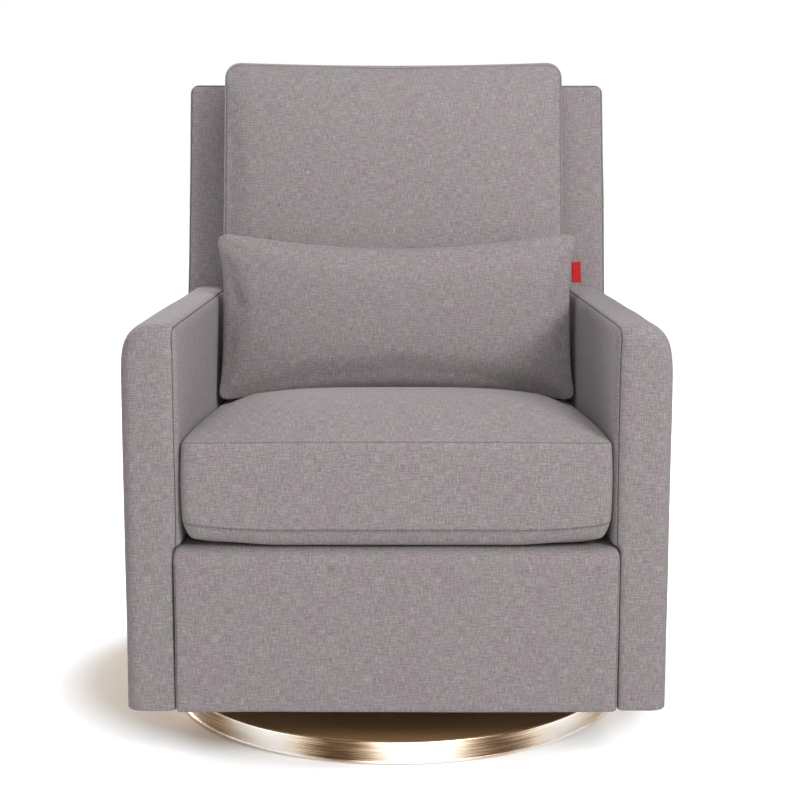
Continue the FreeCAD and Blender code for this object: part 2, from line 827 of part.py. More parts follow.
def seat_frame(bolt_x, spots):
    """Rails, boards, slats and corner blocks of the wooden seat frame."""
    gap = s.seat_gap
    board_back = deck_front
    board_front = deck_front - s.board_thickness
    side = frame_side - gap
    board_top = deck_front_height - s.border_lip - gap
    keep(
        box("front_board", (-side, side), (board_front, board_back), (s.skirt_gap + s.pad / 2, board_top)),
        "front_board",
    )
    inner = side - s.rail_thickness
    rail_end = s.back_front - gap
    under_deck = s.deck_thickness + gap
    outline = [
        (board_back, s.frame_bottom),
        (rail_end, s.frame_bottom),
        (rail_end, deck_height(rail_end) - under_deck),
        (board_back, deck_height(board_back) - under_deck),
    ]
    rail = keep(plate("side_rail_right", "YZ_Plane", outline, inner, s.rail_thickness), "side_rail_right")
    mirror("side_rail_left", rail)

    back_in = rail_end - s.rail_thickness
    wire_room = s.spring_wire + under_deck
    rail_top = deck_height(rail_end) - wire_room
    keep(
        box("back_rail", (-inner, inner), (back_in, rail_end), (s.frame_bottom, rail_top)),
        "back_rail",
    )

    hole = s.bolt_radius + s.run_clearance
    depth = s.carrier_bolt_length - s.sheet + gap
    for end, name in ((-1, "front_slat"), (1, "rear_slat")):
        middle = end * s.slat_spread
        board = box(
            name + "_board",
            (-inner, inner),
            (middle - s.slat_width / 2, middle + s.slat_width / 2),
            (s.slat_bottom, s.slat_bottom + s.slat_thickness),
        )
        mine = spots[:2] if end < 0 else spots[2:]
        holes = [
            cylinder(f"{name}_hole_{i}", hole, depth, a * bolt_x, y, s.slat_bottom)
            for i, (a, y) in enumerate([(a, y) for a in (-1, 1) for y in mine])
        ]
        keep(cut(name, board, holes), name)

    blocks = []
    for a in (-1, 1):
        for y, turn in ((board_back, 1), (back_in, -1)):
            corner = (a * inner, y)
            along = (a * (inner - s.block_side), y)
            back = (a * inner, y + turn * s.block_side)
            block = f"block_{len(blocks)}"
            outline = [corner, along, back]
            blocks.append(plate(block, "XY_Plane", outline, s.frame_bottom, s.block_height))
    group("corner_blocks", blocks)
    return inner, back_in


def pitched(shape, y, z):
    """A shape laid on the deck's slope, its own origin moved to that Y and Z."""
    feature_place = FreeCAD.Placement(
        FreeCAD.Vector(0, y.value, z.value),
        FreeCAD.Rotation(FreeCAD.Vector(1, 0, 0), -s.deck_pitch.value),
    )
    return shape, feature_place


def feature(label, shape, placement=None):
    """A sub-part whose shape is worked out here from the sheet's values."""
    piece = doc.addObject("Part::Feature", label)
    piece.Shape = shape
    if placement is not None:
        piece.Placement = placement
    return keep(piece, label)


def zigzag(length, width, bend):
    """Centre line of a sinuous spring along +Y: straight rungs joined by half-round bends."""
    bends = round(length / (2 * bend))
    step = length / bends
    radius = step / 2
    half = width / 2 - radius
    edges = []
    x = -half
    for i in range(bends + 1):
        y = i * step
        edges.append(Part.LineSegment(FreeCAD.Vector(x, y, 0), FreeCAD.Vector(-x, y, 0)).toShape())
        x = -x
        if i < bends:
            out = radius if x > 0 else -radius
            bend_arc = Part.Arc(
                FreeCAD.Vector(x, y, 0),
                FreeCAD.Vector(x + out, y + radius, 0),
                FreeCAD.Vector(x, y + step, 0),
            )
            edges.append(bend_arc.toShape())
    return Part.Wire(edges)


def seat_deck(inner, back_in):
    """Sinuous springs, their clips, the deck cloth over them and the dust cover below."""
    gap = s.seat_gap
    start = deck_front + s.clip_length / 2
    end = back_in - s.clip_length / 2
    under = s.deck_thickness + gap + s.spring_wire / 2
    length = ((end - start) / cosine(s.deck_pitch)).value
    path = zigzag(length, s.spring_width.value, s.spring_bend.value)
    first = path.OrderedVertexes[0].Point
    ring = Part.Circle(first, FreeCAD.Vector(1, 0, 0), s.spring_wire.value / 2)
    profile = Part.Wire([ring.toShape()])
    spring = path.makePipeShell([profile], True, False)
    count = int(s.spring_count.value)
    outermost = inner - s.spring_margin
    middles = [(i * 2 / (count - 1) - 1) * outermost for i in range(count)]
    springs = []
    for x in middles:
        copy = spring.copy()
        copy.translate(FreeCAD.Vector(x.value, 0, 0))
        springs.append(copy)
    level = deck_height(start) - under
    feature("seat_springs", *pitched(Part.makeCompound(springs), start, level))

    clips = []
    for i, x in enumerate(middles):
        for row, y in (("front", start), ("rear", end)):
            wire = deck_height(y) - under
            left = x - s.clip_width / 2
            block = box(
                f"clip_block_{row}_{i}",
                (left, left + s.clip_width),
                (y - s.clip_length / 2, y + s.clip_length / 2),
                (wire - s.clip_height, wire + s.spring_wire / 2),
            )
            seat = cylinder(
                f"clip_seat_{row}_{i}",
                s.spring_wire / 2 + s.run_clearance,
                s.clip_width,
                left,
                y,
                wire,
                along="X",
            )
            clips.append(cut(f"clip_{row}_{i}", block, [seat]))
    group("spring_clips", clips)

    rear = s.back_front - gap
    side = frame_side - gap
    flat = (rear - deck_front) / cosine(s.deck_pitch)
    corner = FreeCAD.Vector(-side.value, 0, -s.deck_thickness.value)
    cloth = Part.makeBox(side.value * 2, flat.value - 1, s.deck_thickness.value, corner)
    feature("deck_cloth", *pitched(cloth, deck_front + gap, deck_front_height))

    slat_top = s.slat_bottom + s.slat_thickness
    keep(
        box(
            "dust_cover",
            (gap - inner, inner - gap),
            (deck_front + gap + s.clip_length, back_in - gap),
            (slat_top, slat_top + s.web_thickness / 2),
        ),
        "dust_cover",
    )


def arm_outline(inset, front_inset):
    """Side view of an arm, drawn in by an inset; the back end follows the leaning back."""
    base = s.back_front - s.seat_gap - inset
    top = s.arm_top - inset
    lean = s.recline
    return [
        (-s.front_reach + front_inset, s.skirt_gap + inset),
        (base, s.skirt_gap + inset),
        (base, s.knee_height),
        (base + (top - s.knee_height) * tangent(lean), top),
        (-s.front_reach + front_inset, top),
    ]


def arms():
    """Padded arms with a wooden core: each is a cover with a closed hollow for its frame."""
    outline = arm_outline(dim(0), dim(0))
    body = plate("arm_block", "YZ_Plane", outline, arm_inner, s.arm_width)
    top, front = s.arm_top.value, -s.front_reach.value
    inner, outer = 0.0, s.arm_width.value

    def long_top_edge(x):
        return lambda e: ends_at(e, "z", top) and ends_at(e, "x", x)

    round_edges(body, s.arm_outer_round, long_top_edge(outer))
    round_edges(body, s.arm_inner_round, long_top_edge(inner))
    round_edges(
        body,
        s.arm_front_round,
        lambda e: ends_at(e, "y", front) and not ends_at(e, "z", s.skirt_gap.value),
    )
    step_outline = [
        (-s.front_reach, s.skirt_gap),
        (s.back_front, s.skirt_gap),
        (s.back_front, deck_height(s.back_front) + s.seat_gap),
        (-s.front_reach, deck_height(-s.front_reach) + s.seat_gap),
    ]
    step = plate("arm_step", "YZ_Plane", step_outline, arm_inner, s.arm_inner_bulge)
    core_in = frame_side + s.pad
    core_out = half_width - s.pad
    hollow = plate("arm_hollow", "YZ_Plane", arm_outline(s.pad, s.pad), core_in, core_out - core_in)
    arm = keep(cut("arm_right", body, [step, hollow]), "arm_right")
    mirror("arm_left", arm)

    gap = s.seat_gap
    inset = s.pad + gap
    board = plate("arm_panel", "YZ_Plane", arm_outline(inset, inset), core_in + gap, s.arm_board)
    low = s.skirt_gap + inset
    high = s.arm_top - inset
    front_face = inset - s.front_reach
    x = (core_in + gap + s.arm_board, core_out - gap)
    rear = s.back_front - gap - inset
    pieces = [
        board,
        box("arm_front_post", x, (front_face, front_face + s.arm_post), (low, high)),
        box("arm_rear_post", x, (rear - s.arm_post, rear), (low, high)),
        box("arm_top_rail", x, (front_face + s.arm_post, rear - s.arm_post), (high - s.arm_post, high)),
        box("arm_low_rail", x, (front_face + s.arm_post, rear - s.arm_post), (low, low + s.arm_post)),
    ]
    frame = keep(fuse("arm_frame_right", pieces), "arm_frame_right")
    mirror("arm_frame_left", frame)


def slab_outline(front_inset, rear_inset, bottom, top):
    """Side view of the back: upright to the knee, then leaning, with its faces drawn in."""
    half = tangent(s.recline / 2)
    rear = s.back_front + s.back_depth
    lean = (top - s.knee_height) * tangent(s.recline)
    return [
        (s.back_front + front_inset, bottom),
        (s.back_front + front_inset, s.knee_height - front_inset * half),
        (back_face(top, front_inset), top),
        (rear - rear_inset / cosine(s.recline) + lean, top),
        (rear - rear_inset, s.knee_height + rear_inset * half),
        (rear - rear_inset, bottom),
    ]


def back():
    """Padded back over its wooden posts, rails and webbing."""
    nothing = dim(0)
    body = plate(
        "back_block",
        "YZ_Plane",
        slab_outline(nothing, nothing, s.skirt_gap, s.back_top),
        -half_width,
        s.overall_width,
    )
    top = s.back_top.value
    width = s.overall_width.value

    def upper_corner(e):
        at_top = ends_at(e, "z", top)
        return at_top and (ends_at(e, "x", 0.0) or ends_at(e, "x", width))

    round_edges(body, s.back_corner_round, upper_corner)
    bottom = s.skirt_gap.value
    body_faces = (0.0, width)

    def outer_edge(e):
        on_side = any(ends_at(e, "x", x) for x in body_faces)
        return on_side and not ends_at(e, "z", bottom) and e.BoundBox.ZLength > 1

    def top_edge(e):
        return e.BoundBox.ZMin > top - s.back_depth.value / 2 and e.BoundBox.XLength > width / 2

    round_edges(body, s.edge_round, lambda e: top_edge(e) or outer_edge(e))
    inset = s.pad
    hollow = plate(
        "back_hollow",
        "YZ_Plane",
        slab_outline(inset, inset, s.skirt_gap + inset, s.back_top - inset),
        inset - half_width,
        s.overall_width - inset * 2,
    )
    keep(cut("back_panel", body, [hollow]), "back_panel")

    gap = s.seat_gap
    deep = s.pad + gap
    webbed = deep + s.web_thickness + gap
    low = s.skirt_gap + deep
    high = s.back_top - deep
    outer = half_width - deep
    post = plate(
        "back_post_right",
        "YZ_Plane",
        slab_outline(webbed, deep, low, high),
        outer - s.back_post,
        s.back_post,
    )
    keep(post, "back_post_right")
    mirror("back_post_left", post)

    inside = outer - s.back_post
    rise = s.back_rail_height
    rails = (
        ("back_top_rail", high - rise, high),
        ("back_middle_rail", s.knee_height + s.web_width / 2, s.knee_height + s.web_width / 2 + rise),
    )
    rear = s.back_front + s.back_depth
    for name, bottom_z, top_z in rails:
        outline = [
            (back_face(bottom_z, webbed), bottom_z),
            (rear - deep / cosine(s.recline) + (bottom_z - s.knee_height) * tangent(s.recline), bottom_z),
            (rear - deep / cosine(s.recline) + (top_z - s.knee_height) * tangent(s.recline), top_z),
            (back_face(top_z, webbed), top_z),
        ]
        keep(plate(name, "YZ_Plane", outline, -inside, inside * 2), name)
    keep(
        box(
            "back_lower_rail",
            (-inside, inside),
            (s.back_front + webbed, rear - deep),
            (low, low + rise),
        ),
        "back_lower_rail",
    )

    straps = []
    for i in range(int(s.web_count.value)):
        z = s.knee_height + s.web_first + i * s.web_spacing
        face = back_face(z, deep)
        strap = doc.addObject("Part::Box", f"web_{i}")
        bind(strap, Length=outer * 2, Width=s.web_thickness, Height=s.web_width)
        strap.Placement = FreeCAD.Placement(
            FreeCAD.Vector(0, 0, 0), FreeCAD.Rotation(FreeCAD.Vector(1, 0, 0), -s.recline.value)
        )
        place(strap, -outer, face, z)
        straps.append(strap)
    group("back_webbing", straps)


def front_border():
    """The padded panel over the front board, rolled over the front of the deck."""
    gap = s.seat_gap
    front = -s.front_reach - s.border_proud
    board_face = deck_front - s.board_thickness
    top = deck_front_height
    lip_bottom = top - s.border_lip
    side = frame_side - gap
    outline = [
        (front, s.skirt_gap),
        (board_face - gap, s.skirt_gap),
        (board_face - gap, lip_bottom),
        (deck_front, lip_bottom),
        (deck_front, top),
        (front, top),
    ]
    body = plate("front_border", "YZ_Plane", outline, -side, side * 2)
    top_value, front_value, width = top.value, front.value, side.value * 2
    round_edges(
        body, s.border_round, lambda e: ends_at(e, "z", top_value) and ends_at(e, "y", front_value)
    )

    def end_edge(e):
        at_end = ends_at(e, "x", 0.0) or ends_at(e, "x", width)
        forward = e.BoundBox.YMax < front_value + s.border_round.value + 1
        return at_end and forward and e.BoundBox.ZLength > 1

    round_edges(body, s.edge_round, end_edge)
    keep(body, "front_border")


def arc(a, b, c):
    return Part.Arc(FreeCAD.Vector(*a), FreeCAD.Vector(*b), FreeCAD.Vector(*c)).toShape()


def line(a, b):
    return Part.LineSegment(FreeCAD.Vector(*a), FreeCAD.Vector(*b)).toShape()


def loft(sections):
    return Part.makeLoft(sections, True, False)


# along the seat cushion, front to back: share of length, side drawn in, bottom lift, top drop, crown share
SEAT_STATIONS = (
    (0.0, 12, 30, 12, 0.10),
    (0.02, 4, 15, 4, 0.34),
    (0.07, 0, 3, 0, 0.66),
    (0.16, 1, 0, 0, 0.90),
    (0.30, 3, 0, 0, 1.00),
    (0.50, 4, 0, 0, 0.84),
    (0.72, 3, 0, 0, 0.46),
    (0.88, 1, 0, 0, 0.24),
    (0.97, 0, 4, 4, 0.12),
    (1.0, 6, 16, 14, 0.06),
)


def seat_length():
    """From the cushion's front to its rear face, which leans back with the deck's slope."""
    reach = s.back_front + s.front_reach + s.seat_front_proud - s.cushion_clearance
    top_lean = s.seat_cushion_side * sine(s.deck_pitch)
    return ((reach - top_lean) / cosine(s.deck_pitch)).value


def seat_form(inset):
    """Crowned seat cushion in its own frame: X across, Y from its front, Z up from the deck."""
    length = seat_length()
    half = seat_half_width.value - inset
    side = s.seat_cushion_side.value
    crown = s.seat_crown.value
    sections = []
    for share, draw, lift, drop, rise in SEAT_STATIONS:
        y = inset + share * (length - 2 * inset)
        w = half - draw
        low = lift + inset
        high = side - drop - inset
        up = crown * rise
        bulge = w + 1.5
        sections.append(
            Part.Wire(
                [
                    line((-w, y, low), (w, y, low)),
                    arc((w, y, low), (bulge, y, (low + high) / 2), (w, y, high)),
                    arc((w, y, high), (0.83 * w, y, high + 0.56 * up), (0.6 * w, y, high + 0.89 * up)),
                    arc((0.6 * w, y, high + 0.89 * up), (0, y, high + up), (-0.6 * w, y, high + 0.89 * up)),
                    arc((-0.6 * w, y, high + 0.89 * up), (-0.83 * w, y, high + 0.56 * up), (-w, y, high)),
                    arc((-w, y, high), (-bulge, y, (low + high) / 2), (-w, y, low)),
                ]
            )
        )
    return loft(sections)


def hollow_cushion(label, core_label, form, placement):
    """A cushion's cover and wrap as a shell, and the foam core inside it."""
    wrap = s.cushion_wrap.value
    gap = s.seat_gap.value
    feature(label, form(0.0).cut(form(wrap)), placement)
    feature(core_label, form(wrap + gap), placement)


def seat_cushion():
    y = -s.front_reach - s.seat_front_proud
    z = deck_height(y) + s.cushion_clearance
    _, placement = pitched(None, y, z)
    hollow_cushion("seat_cushion", "seat_foam_core", seat_form, placement)


# up the back cushion: share of height, side drawn in, thickness share, crown share
BACK_STATIONS = (
    (0.0, 10, 0.70, 0.10),
    (0.03, 3, 0.90, 0.35),
    (0.12, 0, 1.00, 0.75),
    (0.35, 2, 1.00, 1.00),
    (0.65, 3, 1.00, 0.95),
    (0.88, 1, 0.98, 0.60),
    (0.97, 4, 0.86, 0.28),
    (1.0, 12, 0.62, 0.08),
)


def back_form(inset):
    """Crowned back cushion, leaning with the back: flat behind, bulging in front."""
    bottom = back_cushion_bottom.value + inset
    top = (back_cushion_bottom + s.back_cushion_height).value - inset
    half = (arm_inner - s.back_side_gap).value - inset
    edge = s.back_cushion_side.value
    crown = s.back_cushion_thickness.value - edge
    lean = math.tan(math.radians(s.recline.value))
    face = s.back_front.value - s.seat_gap.value - inset
    sections = []
    for share, draw, thick, rise in BACK_STATIONS:
        z = bottom + share * (top - bottom)
        behind = face + (z - s.knee_height.value) * lean
        corner = behind - (edge - 2 * inset) * thick
        front = corner - crown * rise
        w = half - draw
        middle = (behind + corner) / 2
        bulge = w + 2
        sections.append(
            Part.Wire(
                [
                    line((-w, behind, z), (w, behind, z)),
                    arc((w, behind, z), (bulge, middle, z), (w, corner, z)),
                    arc((w, corner, z), (0, front, z), (-w, corner, z)),
                    arc((-w, corner, z), (-bulge, middle, z), (-w, behind, z)),
                ]
            )
        )
    return loft(sections)


# across the lumbar pillow: share of width, thickness share, edge draw-in share
LUMBAR_STATIONS = (
    (0.0, 0.10, 0.0),
    (0.04, 0.34, 0.12),
    (0.14, 0.70, 0.40),
    (0.30, 0.92, 0.80),
    (0.50, 1.00, 1.00),
    (0.70, 0.92, 0.80),
    (0.86, 0.70, 0.40),
    (0.96, 0.34, 0.12),
    (1.0, 0.10, 0.0),
)


def lumbar_form(inset):
    """Knife-edged pillow in its own frame: X across, Z up, thickest in the middle."""
    width = 2 * (lumbar_half_width.value - inset)
    height = s.lumbar_height.value - 2 * inset
    thick = s.lumbar_thickness.value / 2 - inset
    edge = s.lumbar_edge.value / 4
    rise = s.lumbar_rise.value
    dip = s.lumbar_dip.value
    sections = []
    for share, fat, draw in LUMBAR_STATIONS:
        x = (share - 0.5) * width
        low = inset + rise * draw
        high = inset + height - dip * draw
        t = max(thick * fat, edge * 2)
        middle = (low + high) / 2
        sections.append(
            Part.Wire(
                [
                    line((x, -edge, low), (x, edge, low)),
                    arc((x, edge, low), (x, t, middle), (x, edge, high)),
                    line((x, edge, high), (x, -edge, high)),
                    arc((x, -edge, high), (x, -t, middle), (x, -edge, low)),
                ]
            )
        )
    form = loft(sections)
    centre, level, reach = lumbar_scoop()
    for side in (-1, 1):
        axis_end = FreeCAD.Vector(side * centre, -width / 2, level)
        scoop = Part.makeCylinder(reach + inset, width, axis_end, FreeCAD.Vector(0, 1, 0))
        form = form.cut(scoop)
    return form


def lumbar_scoop():
    """The large circle that draws the pillow's ends in: distance out, height and radius."""
    height = s.lumbar_height.value
    reach = s.lumbar_scoop.value
    level = height * s.lumbar_waist.value
    out = lumbar_half_width.value + math.sqrt(reach**2 - (height - level) ** 2)
    return out, level, reach


def lumbar_pillow():
    """The loose pillow that leans on the back cushion, its filling and its blank tab."""
    lean = s.recline.value
    radians = math.radians(lean)
    level = lumbar_bottom.value
    front = (
        s.back_front.value
        + (level + s.lumbar_height.value / 2 - s.knee_height.value) * math.tan(radians)
        - s.back_cushion_thickness.value
    )
    half = s.lumbar_thickness.value / 2
    middle = front - (half + s.seat_gap.value) / math.cos(radians)
    foot = middle - s.lumbar_height.value / 2 * math.sin(radians)
    placement = FreeCAD.Placement(
        FreeCAD.Vector(0, foot, level), FreeCAD.Rotation(FreeCAD.Vector(1, 0, 0), -lean)
    )
    hollow_cushion("lumbar_pillow", "lumbar_filling", lumbar_form, placement)
    rise = s.tab_rise.value
    out, waist, reach = lumbar_scoop()
    off = rise + s.tab_length.value / 2 - waist
    edge = out - math.sqrt(reach**2 - off**2) + s.seat_gap.value
    corner = FreeCAD.Vector(edge, -s.tab_thickness.value / 2, rise - s.tab_length.value / 2)
    tab = Part.makeBox(s.tab_width.value, s.tab_thickness.value, s.tab_length.value, corner)
    feature("pillow_tab", tab, placement)


def check_and_write():
    """Stops on any failed object, then writes each sub-part to its own file."""
    doc.recompute()
    for obj in doc.Objects:
        if "Invalid" in obj.State or "Error" in obj.State:
            raise RuntimeError(f"{obj.Name} failed: {obj.State}")
    os.makedirs("parts", exist_ok=True)
    for obj in parts:
        shape = obj.Shape
        if shape.isNull() or not shape.isValid() or not shape.Solids:
            raise RuntimeError(f"{obj.Label} has no valid solid")
        shape.exportStep(f"parts/{obj.Label}.step")
    print(len(parts), "sub-parts written")


base_drum()
swivel_bearing()
turntable()
swing_links()
seat_frame_ends = seat_frame(*carriers())
seat_deck(*seat_frame_ends)
arms()
back()
front_border()
seat_cushion()
hollow_cushion("back_cushion", "back_foam_core", back_form, FreeCAD.Placement())
lumbar_pillow()
check_and_write()
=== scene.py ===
import json
import math

import bmesh
import bpy
from mathutils import Matrix, Vector, kdtree, noise
from mathutils.bvhtree import BVHTree


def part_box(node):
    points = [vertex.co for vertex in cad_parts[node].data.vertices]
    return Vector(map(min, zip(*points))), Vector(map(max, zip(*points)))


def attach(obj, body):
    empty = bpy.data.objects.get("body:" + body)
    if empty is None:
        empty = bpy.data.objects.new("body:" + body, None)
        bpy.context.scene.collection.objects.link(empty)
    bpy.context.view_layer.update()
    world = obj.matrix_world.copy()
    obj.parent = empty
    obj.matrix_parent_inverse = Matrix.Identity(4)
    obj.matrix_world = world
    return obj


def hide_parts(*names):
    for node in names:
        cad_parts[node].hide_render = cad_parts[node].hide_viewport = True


# A swivel rocker: woven arms, back and cushions over a brushed metal base. Metres.

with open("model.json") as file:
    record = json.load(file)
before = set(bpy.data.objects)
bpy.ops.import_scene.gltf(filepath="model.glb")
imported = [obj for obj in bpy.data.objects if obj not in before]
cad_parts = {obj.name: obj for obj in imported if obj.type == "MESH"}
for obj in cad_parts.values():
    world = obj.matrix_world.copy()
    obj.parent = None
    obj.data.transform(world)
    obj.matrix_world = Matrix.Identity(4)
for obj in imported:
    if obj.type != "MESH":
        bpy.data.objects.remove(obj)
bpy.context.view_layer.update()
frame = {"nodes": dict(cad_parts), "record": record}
cad = frame["nodes"]

CHAIR_HALF = 0.375
UNDERSIDE = 0.088
ARM_INNER = 0.299
ARM_TOP = 0.633
ARM_FRONT = -0.375
ARM_PADDING = 0.004
BACK_FRONT = 0.300
BACK_REAR = 0.385
BACK_TOP = 0.991
BORDER_HALF = 0.3097
BORDER_FRONT = -0.380
BORDER_SEAM_TOP = 0.300
KNEE = 0.450  # where the back begins to lean
RECLINE = math.radians(13.6)
DECK_PITCH = math.radians(3)

SEAM_INSET = 0.0035
SEAM_WIDTH = 0.0011
SEAM_DEPTH = 0.0012
SEAM_STEP = 0.0008
EDGE_SEAM_WIDTH = 0.0014
PADDING_GRAIN = 0.0045
UNEVENNESS = 0.0012
FILLING_CAP = 0.007  # the most that the filling lifts a cushion's cover


class Wire:
    """One output socket of a node, with arithmetic that adds Math nodes."""

    def __init__(self, graph, socket):
        self.graph = graph
        self.socket = socket

    def math(self, operation, *others):
        return self.graph.node("ShaderNodeMath", {"operation": operation}, [self, *others])

    def __add__(self, other):
        return self.math("ADD", other)

    __radd__ = __add__

    def __mul__(self, other):
        return self.math("MULTIPLY", other)

    __rmul__ = __mul__

    def __sub__(self, other):
        return self.math("SUBTRACT", other)

    def __rsub__(self, other):
        return self.graph.node("ShaderNodeMath", {"operation": "SUBTRACT"}, [other, self])

    def __truediv__(self, other):
        return self.math("DIVIDE", other)

    def __pow__(self, other):
        return self.math("POWER", other)

    def __abs__(self):
        return self.math("ABSOLUTE")

    def over(self, other):
        return self.math("GREATER_THAN", other)

    def top(self, other):
        return self.math("MAXIMUM", other)

    def sine(self):
        return self.math("SINE")

    def parts(self):
        """X, Y and Z of a vector."""
        names = ("X", "Y", "Z")
        return [self.graph.node("ShaderNodeSeparateXYZ", {}, [self], name) for name in names]


class Finish:
    """A material, or the world, and its nodes."""

    def __init__(self, name, kind=bpy.data.materials):
        self.owner = kind.new(name)
        self.owner.use_nodes = True
        self.tree = self.owner.node_tree
        self.tree.nodes.clear()

    def node(self, kind, settings=None, inputs=(), output=0):
        """Any node: its settings are set first, then its sockets are given values or links."""
        made = self.tree.nodes.new(kind)
        for key, value in (settings or {}).items():
            if key == "stops":
                ramp = made.color_ramp
                while len(ramp.elements) < len(value):
                    ramp.elements.new(0.5)
                for element, (at, colour) in zip(ramp.elements, value):
                    element.position = at
                    element.color = (*colour, 1)
            else:
                setattr(made, key, value)
        pairs = inputs.items() if isinstance(inputs, dict) else enumerate(inputs)
        for socket, value in pairs:
            if isinstance(value, Wire):
                self.tree.links.new(value.socket, made.inputs[socket])
            else:
                if isinstance(value, tuple) and made.inputs[socket].type == "RGBA":
                    value = (*value, 1)
                made.inputs[socket].default_value = value
        return Wire(self, made.outputs[output]) if len(made.outputs) else None

    def mix(self, first, second, share):
        """Two colours mixed by a share from 0 to 1."""
        settings = {"data_type": "RGBA", "blend_type": "MIX"}
        return self.node("ShaderNodeMix", settings, {0: share, 6: first, 7: second}, 2)

    def darken(self, colour, amount):
        """A colour times one minus an amount."""
        return self.mix(colour, (0.0, 0.0, 0.0), amount)

    def vector(self, x, y, z):
        return self.node("ShaderNodeCombineXYZ", {}, [x, y, z])

    def noise(self, at, scale, detail=2.0, roughness=0.5):
        inputs = {"Vector": at, "Scale": scale, "Detail": detail, "Roughness": roughness}
        return self.node("ShaderNodeTexNoise", {}, inputs)

    def ramp(self, value, stops):
        return self.node("ShaderNodeValToRGB", {"stops": stops}, [value])

    def place(self, output="Object"):
        return self.node("ShaderNodeTexCoord", {}, (), output)

    def seen(self):
        """1 on rays from the camera and on those that gloss and glass pass on, otherwise 0."""
        rays = ("Is Camera Ray", "Is Glossy Ray", "Is Transmission Ray")
        camera, gloss, glass = (self.node("ShaderNodeLightPath", {}, (), ray) for ray in rays)
        return camera.top(gloss).top(glass)

    def bump(self, height, strength, distance):
        inputs = {"Height": height, "Strength": strength, "Distance": distance}
        return self.node("ShaderNodeBump", {}, inputs)

    def surface(self, **sockets):
        """Ends the material with a Principled shader."""
        named = {key.replace("_", " "): value for key, value in sockets.items()}
        shader = self.node("ShaderNodeBsdfPrincipled", {}, named)
        self.node("ShaderNodeOutputMaterial", {}, {"Surface": shader})
        return self.owner


def cloth_plane(finish):
    """Two directions along the cloth, whichever way a face looks, from object coordinates."""
    x, y, z = finish.place().parts()
    nx, ny, nz = (abs(part) for part in finish.place("Normal").parts())
    sideways = nx.over(ny.top(nz))
    upwards = nz.over(ny.top(nx))
    across = x + (y - x) * sideways
    along = z + (y - z) * upwards
    return across, along


def woven(name, dark, middle, light, pink=(1, 1, 1), moss=(1, 1, 1), thread=0.0014, contrast=1.0):
    """A plain weave of melange yarn, with a slight drift of hue over the cloth, and painted shade darkening
    it along the seams.
    """
    cloth = Finish(name)
    across, along = cloth_plane(cloth)
    warp = cloth.noise(cloth.vector(across * 720, along * 70, 0.0), 1.0, 3.0, 0.6)
    weft = cloth.noise(cloth.vector(across * 62, along * 720, 7.0), 1.0, 3.0, 0.6)
    pitch = math.pi / thread
    over = (across * pitch).sine() * (along * pitch).sine() * 0.5 + 0.5
    tone = warp + (weft - warp) * over
    slub = cloth.noise(cloth.vector(across * 360, along * 420, 3.0), 1.0, 3.0, 0.7)
    tone = (tone * 0.68 + slub * 0.32 - 0.5) * contrast + 0.5
    yarn = cloth.ramp(tone, [(0.32, dark), (0.5, middle), (0.68, light)])
    drift = cloth.noise(cloth.place(), 30.0, 2.0, 0.6)
    tint = cloth.ramp(drift, [(0.4, moss), (0.5, (1.0, 1.0, 1.0)), (0.6, pink)])
    multiply = {"data_type": "RGBA", "blend_type": "MULTIPLY"}
    blush = cloth.node("ShaderNodeMix", multiply, {0: 1.0, 6: yarn, 7: tint}, 2)
    # Painted shade: the cloth's colour is darkened along the seams, where shade falls in the pressed seam
    # lines.
    seam = cloth.node("ShaderNodeAttribute", {"attribute_name": "seam"}, (), "Fac")
    colour = cloth.darken(blush, seam * 0.8)
    rise = abs((across * pitch).sine()) + abs((along * pitch).sine()) * 0.8
    height = rise * 0.45 + slub
    return cloth.surface(
        Base_Color=colour,
        Roughness=0.93,
        Specular_IOR_Level=0.18,
        Sheen_Weight=0.12,
        Sheen_Roughness=0.5,
        Normal=cloth.bump(height, 0.32, 0.0008),
    )


def champagne(name):
    """Champagne-gold metal brushed round the drum, its wall painted with broad lighter and darker sweeps of
    reflection and a painted highlight on its bottom lip, its top face painted a darker brown as a reflection
    of the chair's dark underside.
    """
    metal = Finish(name)
    x, y, z = metal.place().parts()
    radius = (x * x + y * y) ** 0.5
    turn = x.math("ARCTAN2", y * -1)
    lines = metal.noise(metal.vector(x * 12, y * 12, (radius + z) * 1000), 1.0, 3.0, 0.6)
    # Painted reflection: broad lighter and darker bands round the wall, strongest at the front and back,
    # stand in for what the metal reflects.
    painted_reflection_sweep = (turn * 9 + 0.69).sine() * ((turn * 2 + math.pi / 2).sine() * 0.5 + 0.5)
    # Painted highlight: the thin lip at the bottom of the drum is lightened.
    painted_lip_highlight = 1 - z.over(0.0055)
    # The wall's tone: painted reflection bands, the brushed grain, and the painted highlight on the bottom
    # lip.
    level = painted_reflection_sweep * 0.46 + (lines - 0.5) * 0.75 + 0.60 + painted_lip_highlight * 0.3
    # Painted reflection: from near black through tan to near white.
    painted_reflection_stops = [
        (0.2, (0.10, 0.055, 0.028)),
        (0.42, (0.42, 0.30, 0.20)),
        (0.58, (0.74, 0.62, 0.48)),
        (0.92, (1, 0.97, 0.93)),
    ]
    wall = metal.ramp(level, painted_reflection_stops)
    # Painted reflection: the upward-facing top face is coloured a darker brown and made less metallic,
    # standing in for the chair's dark underside that it reflects.
    top = metal.place("Normal").parts()[2].over(0.7) * z.over(0.02)
    top_painted_reflection = metal.mix((0.62, 0.34, 0.15), (0.92, 0.58, 0.31), lines)
    return metal.surface(
        Base_Color=metal.mix(wall, top_painted_reflection, top),
        Metallic=1 - top * 0.55,
        Roughness=lines * 0.12 + top * 0.22 + 0.18,
        Anisotropic=0.7,
        Normal=metal.bump(lines, 0.06, 0.0003),
    )


